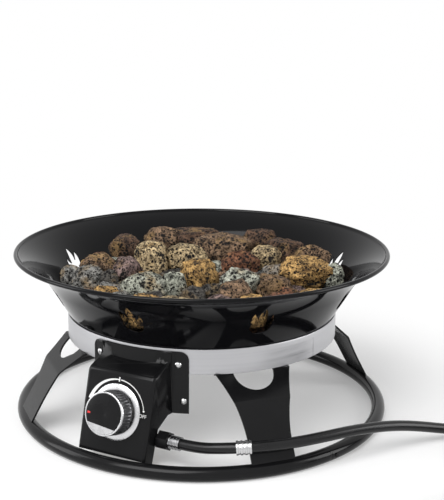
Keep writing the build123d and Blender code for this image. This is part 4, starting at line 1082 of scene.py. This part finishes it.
def pore_field(tree, place, scale, low, high):
    """0 inside the pores and 1 between them, with bent outlines."""
    pores = tree.nodes.new("ShaderNodeTexVoronoi")
    pores.inputs["Scale"].default_value = scale
    warp = tree.nodes.new("ShaderNodeVectorMath")
    warp.operation = "ADD"
    wobble = tree.nodes.new("ShaderNodeTexNoise")
    wobble.inputs["Scale"].default_value = scale
    soften = tree.nodes.new("ShaderNodeVectorMath")
    soften.operation = "SCALE"
    soften.inputs["Scale"].default_value = 1.0 / scale
    tree.links.new(place, wobble.inputs["Vector"])
    tree.links.new(wobble.outputs["Color"], soften.inputs[0])
    tree.links.new(place, warp.inputs[0])
    tree.links.new(soften.outputs["Vector"], warp.inputs[1])
    tree.links.new(warp.outputs["Vector"], pores.inputs["Vector"])
    drift = noise_texture(tree, place, scale * PORE_DRIFT_SCALE)
    uneven = spread(tree, drift, PORE_DRIFT[0], PORE_DRIFT[1], TONE_LOW, TONE_HIGH)
    return spread(tree, blend(tree, "MULTIPLY", pores.outputs["Distance"], uneven), 0.0, 1.0, low, high)


def lava(name, dark, light):
    """Porous stone: patches of two colours, rusty stains, pores painted black as their shade, and painted
    shade towards the bed.
    """
    material = bpy.data.materials.new("lava_" + name)
    material.use_nodes = True
    tree = material.node_tree
    shader = tree.nodes["Principled BSDF"]
    place = texture_place(tree)
    patches = noise_texture(tree, place, PATCH_SCALE, PATCH_DETAIL, PATCH_ROUGHNESS)
    stain = noise_texture(tree, place, STAIN_SCALE, roughness=STAIN_ROUGHNESS)
    wide_pores = pore_field(tree, place, *WIDE_PORES)
    fine_pores = pore_field(tree, place, *FINE_PORES)
    open_stone = blend(tree, "MULTIPLY", wide_pores, fine_pores)
    stone = mix_colour(tree, dark, light, spread(tree, patches, 0.0, 1.0, *PATCH_EDGE))
    stained = mix_colour(tree, stone, STAIN, spread(tree, stain, 0.0, STAIN_SHARE, *STAIN_EDGE))
    axes = tree.nodes.new("ShaderNodeSeparateXYZ")
    tree.links.new(place, axes.inputs[0])
    # Painted shade: the colour darkens towards the bed, where the rocks shade each other
    bed_shade = spread(tree, axes.outputs["Z"], BED_SHADE_SHARE, 1.0, BED_LOW, BED_HIGH)
    # Painted shade: the pores take the near-black colour
    pitted = mix_colour(tree, PORE_SHADE, stained, blend(tree, "MULTIPLY", open_stone, bed_shade))
    tree.links.new(pitted, shader.inputs["Base Color"])
    shader.inputs["Roughness"].default_value = STONE_ROUGHNESS
    shader.inputs["Specular IOR Level"].default_value = STONE_SPECULAR
    grain = noise_texture(tree, place, STONE_GRAIN_SCALE)
    height = blend(tree, "ADD", open_stone, spread(tree, grain, 0.0, STONE_GRAIN_SHARE))
    tree.links.new(bump(tree, height, 1.0, STONE_RELIEF), shader.inputs["Normal"])
    return material


# Rocks in view: place, width and height in millimetres, and stone
SEEN_ROCKS = (
    (-186, -21, 198, 30, 30, "grey"),
    (-158, -42, 200, 44, 38, "grey"),
    (-131, -48, 198, 30, 34, "dark"),
    (-151, 26, 203, 50, 32, "brown"),
    (-109, -22, 202, 40, 46, "pinkish"),
    (-79, -84, 198, 62, 46, "grey_green"),
    (-75, 36, 208, 50, 66, "tan"),
    (-38, -76, 196, 36, 42, "grey_green"),
    (-28, 46, 208, 60, 46, "tan"),
    (-3, -40, 200, 50, 62, "ochre"),
    (-16, 159, 210, 72, 46, "dark_brown"),
    (-60, 148, 210, 56, 48, "brown"),
    (-117, 106, 208, 48, 48, "dark_brown"),
    (33, 105, 210, 80, 50, "brown"),
    (54, -72, 200, 58, 46, "grey_green"),
    (15, -98, 194, 34, 34, "dark"),
    (57, 24, 204, 50, 40, "red_brown"),
    (96, -76, 198, 50, 42, "brown"),
    (94, 46, 206, 42, 42, "tan"),
    (127, 96, 206, 54, 46, "dark_brown"),
    (147, -23, 204, 66, 54, "ochre"),
    (168, 70, 204, 50, 38, "brown"),
    (186, -22, 199, 34, 34, "grey_green"),
    (93, 157, 208, 48, 40, "dark_brown"),
    # These last two rocks lie behind the two front flame cut-outs; their ochre colour is partly painted
    # light, standing in for the flames' glow seen through the openings
    (-74, -160, 190, 46, 44, "ochre"),
    (61, -163, 190, 46, 44, "ochre"),
)
SEEN_SIZE_SHARE = 0.60
# Rocks between and below those: count, range of heights, range of sizes and radius of the layer
FILLERS = (46, 184.0, 200.0, (34.0, 52.0), 180.0)
LOWERS = (34, 160.0, 168.0, (44.0, 56.0), 166.0)
SQUASH_SIDE = (0.95, 1.2)
SQUASH_TALL = (0.75, 0.95)
CROWN_HEIGHT = 226.0
CROWN_PRESS_SHARE = 0.5
WALL_GAP_SHARE = 1.3
SPOT_TRIES = 40
FREE_GAP = 100.0
ROCK_SHARP = 70.0
ROCK_SEED = 23
draw = random.Random(ROCK_SEED)


def bowl_room(height):
    """Inner radius of the bowl at a height, for rocks that lie against its wall."""
    return wall_radius(min(height, FLARE_START_HEIGHT)) - BOWL_WALL * WALL_GAP_SHARE


def spread_rocks(taken, count, low, high, tall, layer_radius):
    """Places rocks by turns on the emptiest of some random spots."""
    placed = []
    for _ in range(count):
        best = None
        for _ in range(SPOT_TRIES):
            reach = layer_radius * math.sqrt(draw.random())
            turn = draw.uniform(0.0, math.tau)
            spot = Vector((reach * math.cos(turn), reach * math.sin(turn), draw.uniform(low, high)))
            others = [(spot - other[0]).length - other[1] for other in taken + placed]
            gap = min(others) if others else FREE_GAP
            if best is None or gap > best[0]:
                best = (gap, spot)
        size = draw.uniform(*tall)
        placed.append((best[1], size / 2))
    return placed


# Form of a lump, in shares of its radius: flat planes, one swelling and three kinds of roughness, each
# of a scale and a depth, and two kinds of pits, each of a scale, a side, a depth and a mouth
PLANE_COUNT = 13
PLANE_DISTANCE = (0.66, 0.93)
PLANE_FACING = 0.2
PLANE_SHARE = 0.75
SWELL = (1.3, 0.16)
ROUGHNESS = ((3.4, 0.070), (8.0, 0.040), (17.0, 0.018))
PITS = ((4.2, 1.0, 0.085, 0.34), (9.0, -1.0, 0.050, 0.36))
SEED_STEP = (7.3, 3.1, 5.7)


def lump(sphere, centre, size, stone_seed):
    """One rock: a sphere flattened by random planes, roughened and pitted."""
    spin_turn = draw.uniform(0.0, math.tau)
    offset = Vector([stone_seed * step for step in SEED_STEP])
    planes = []
    for _ in range(PLANE_COUNT):
        normal = Vector((draw.gauss(0, 1), draw.gauss(0, 1), draw.gauss(0, 1))).normalized()
        planes.append((normal, draw.uniform(*PLANE_DISTANCE)))
    turned = Matrix.Rotation(spin_turn, 3, "Z")
    points = []
    for direction in sphere:
        reach = 1.0 + SWELL[1] * noise.noise(direction * SWELL[0] + offset)
        for normal, limit in planes:
            facing = direction.dot(normal)
            if facing > PLANE_FACING:
                reach = min(reach, limit / facing * PLANE_SHARE + reach * (1.0 - PLANE_SHARE))
        for scale, depth in ROUGHNESS:
            reach += depth * noise.noise(direction * scale + offset)
        for scale, side, depth, mouth in PITS:
            cell = noise.voronoi(direction * scale + offset * side)[0][0]
            reach -= depth * max(0.0, 1.0 - cell / mouth)
        body = turned @ (direction * reach)
        points.append(centre + Vector((body.x * size.x, body.y * size.y, body.z * size.z)))
    return points


def sphere_points(level):
    """Directions and faces of an even sphere."""
    ball = bmesh.new()
    bmesh.ops.create_icosphere(ball, subdivisions=level, radius=1.0)
    points = [vertex.co.normalized() for vertex in ball.verts]
    faces = [tuple(vertex.index for vertex in face.verts) for face in ball.faces]
    ball.free()
    return points, faces


fine_ball, plain_ball, rough_ball = [sphere_points(level) for level in (5, 4, 3)]
rocks = []
for x, y, z, width, height, stone in SEEN_ROCKS:
    depth = (width + height) / 2
    size = Vector((width, depth, height)) * SEEN_SIZE_SHARE
    rocks.append((fine_ball, Vector((x, y, z)), size, stone))
taken = [(Vector((x, y, z)), max(width, height) / 2) for x, y, z, width, height, _ in SEEN_ROCKS]
stone_names = sorted(STONES)
fillers = spread_rocks(taken, *FILLERS)
lowers = spread_rocks([], *LOWERS)
for ball, group in ((plain_ball, fillers), (rough_ball, lowers)):
    for centre, radius in group:
        ranges = (SQUASH_SIDE, SQUASH_SIDE, SQUASH_TALL)
        squash = Vector([draw.uniform(low, high) for low, high in ranges])
        rocks.append((ball, centre, squash * radius, draw.choice(stone_names)))

grouped = {name: ([], []) for name in stone_names}
for index, ((ball_points, ball_faces), centre, size, stone) in enumerate(rocks):
    points = lump(ball_points, centre, size, index)
    vertices, faces = grouped[stone]
    first = len(vertices)
    for point in points:
        point.z -= max(0.0, point.z - CROWN_HEIGHT) * CROWN_PRESS_SHARE
        room = bowl_room(point.z)
        away = math.hypot(point.x, point.y)
        if away > room:
            point.x *= room / away
            point.y *= room / away
        vertices.append(point * MM)
    faces.extend(tuple(first + corner for corner in face) for face in ball_faces)
for name in stone_names:
    vertices, faces = grouped[name]
    stone = lava(name, *STONES[name])
    stones = link_mesh("rocks_" + name, vertices, faces, stone, slot="lava", sharp=ROCK_SHARP)
    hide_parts("lava_rocks", "lava_rocks_lower")

# Every other node keeps its own mesh and takes its slot's finish
for row in frame["record"]["subparts"]:
    node = cad_nodes[row["node"]]
    if row["material_slot"] in slot_finish:
        node.data.materials.clear()
        node.data.materials.append(slot_finish[row["material_slot"]])
        node.data.shade_smooth()
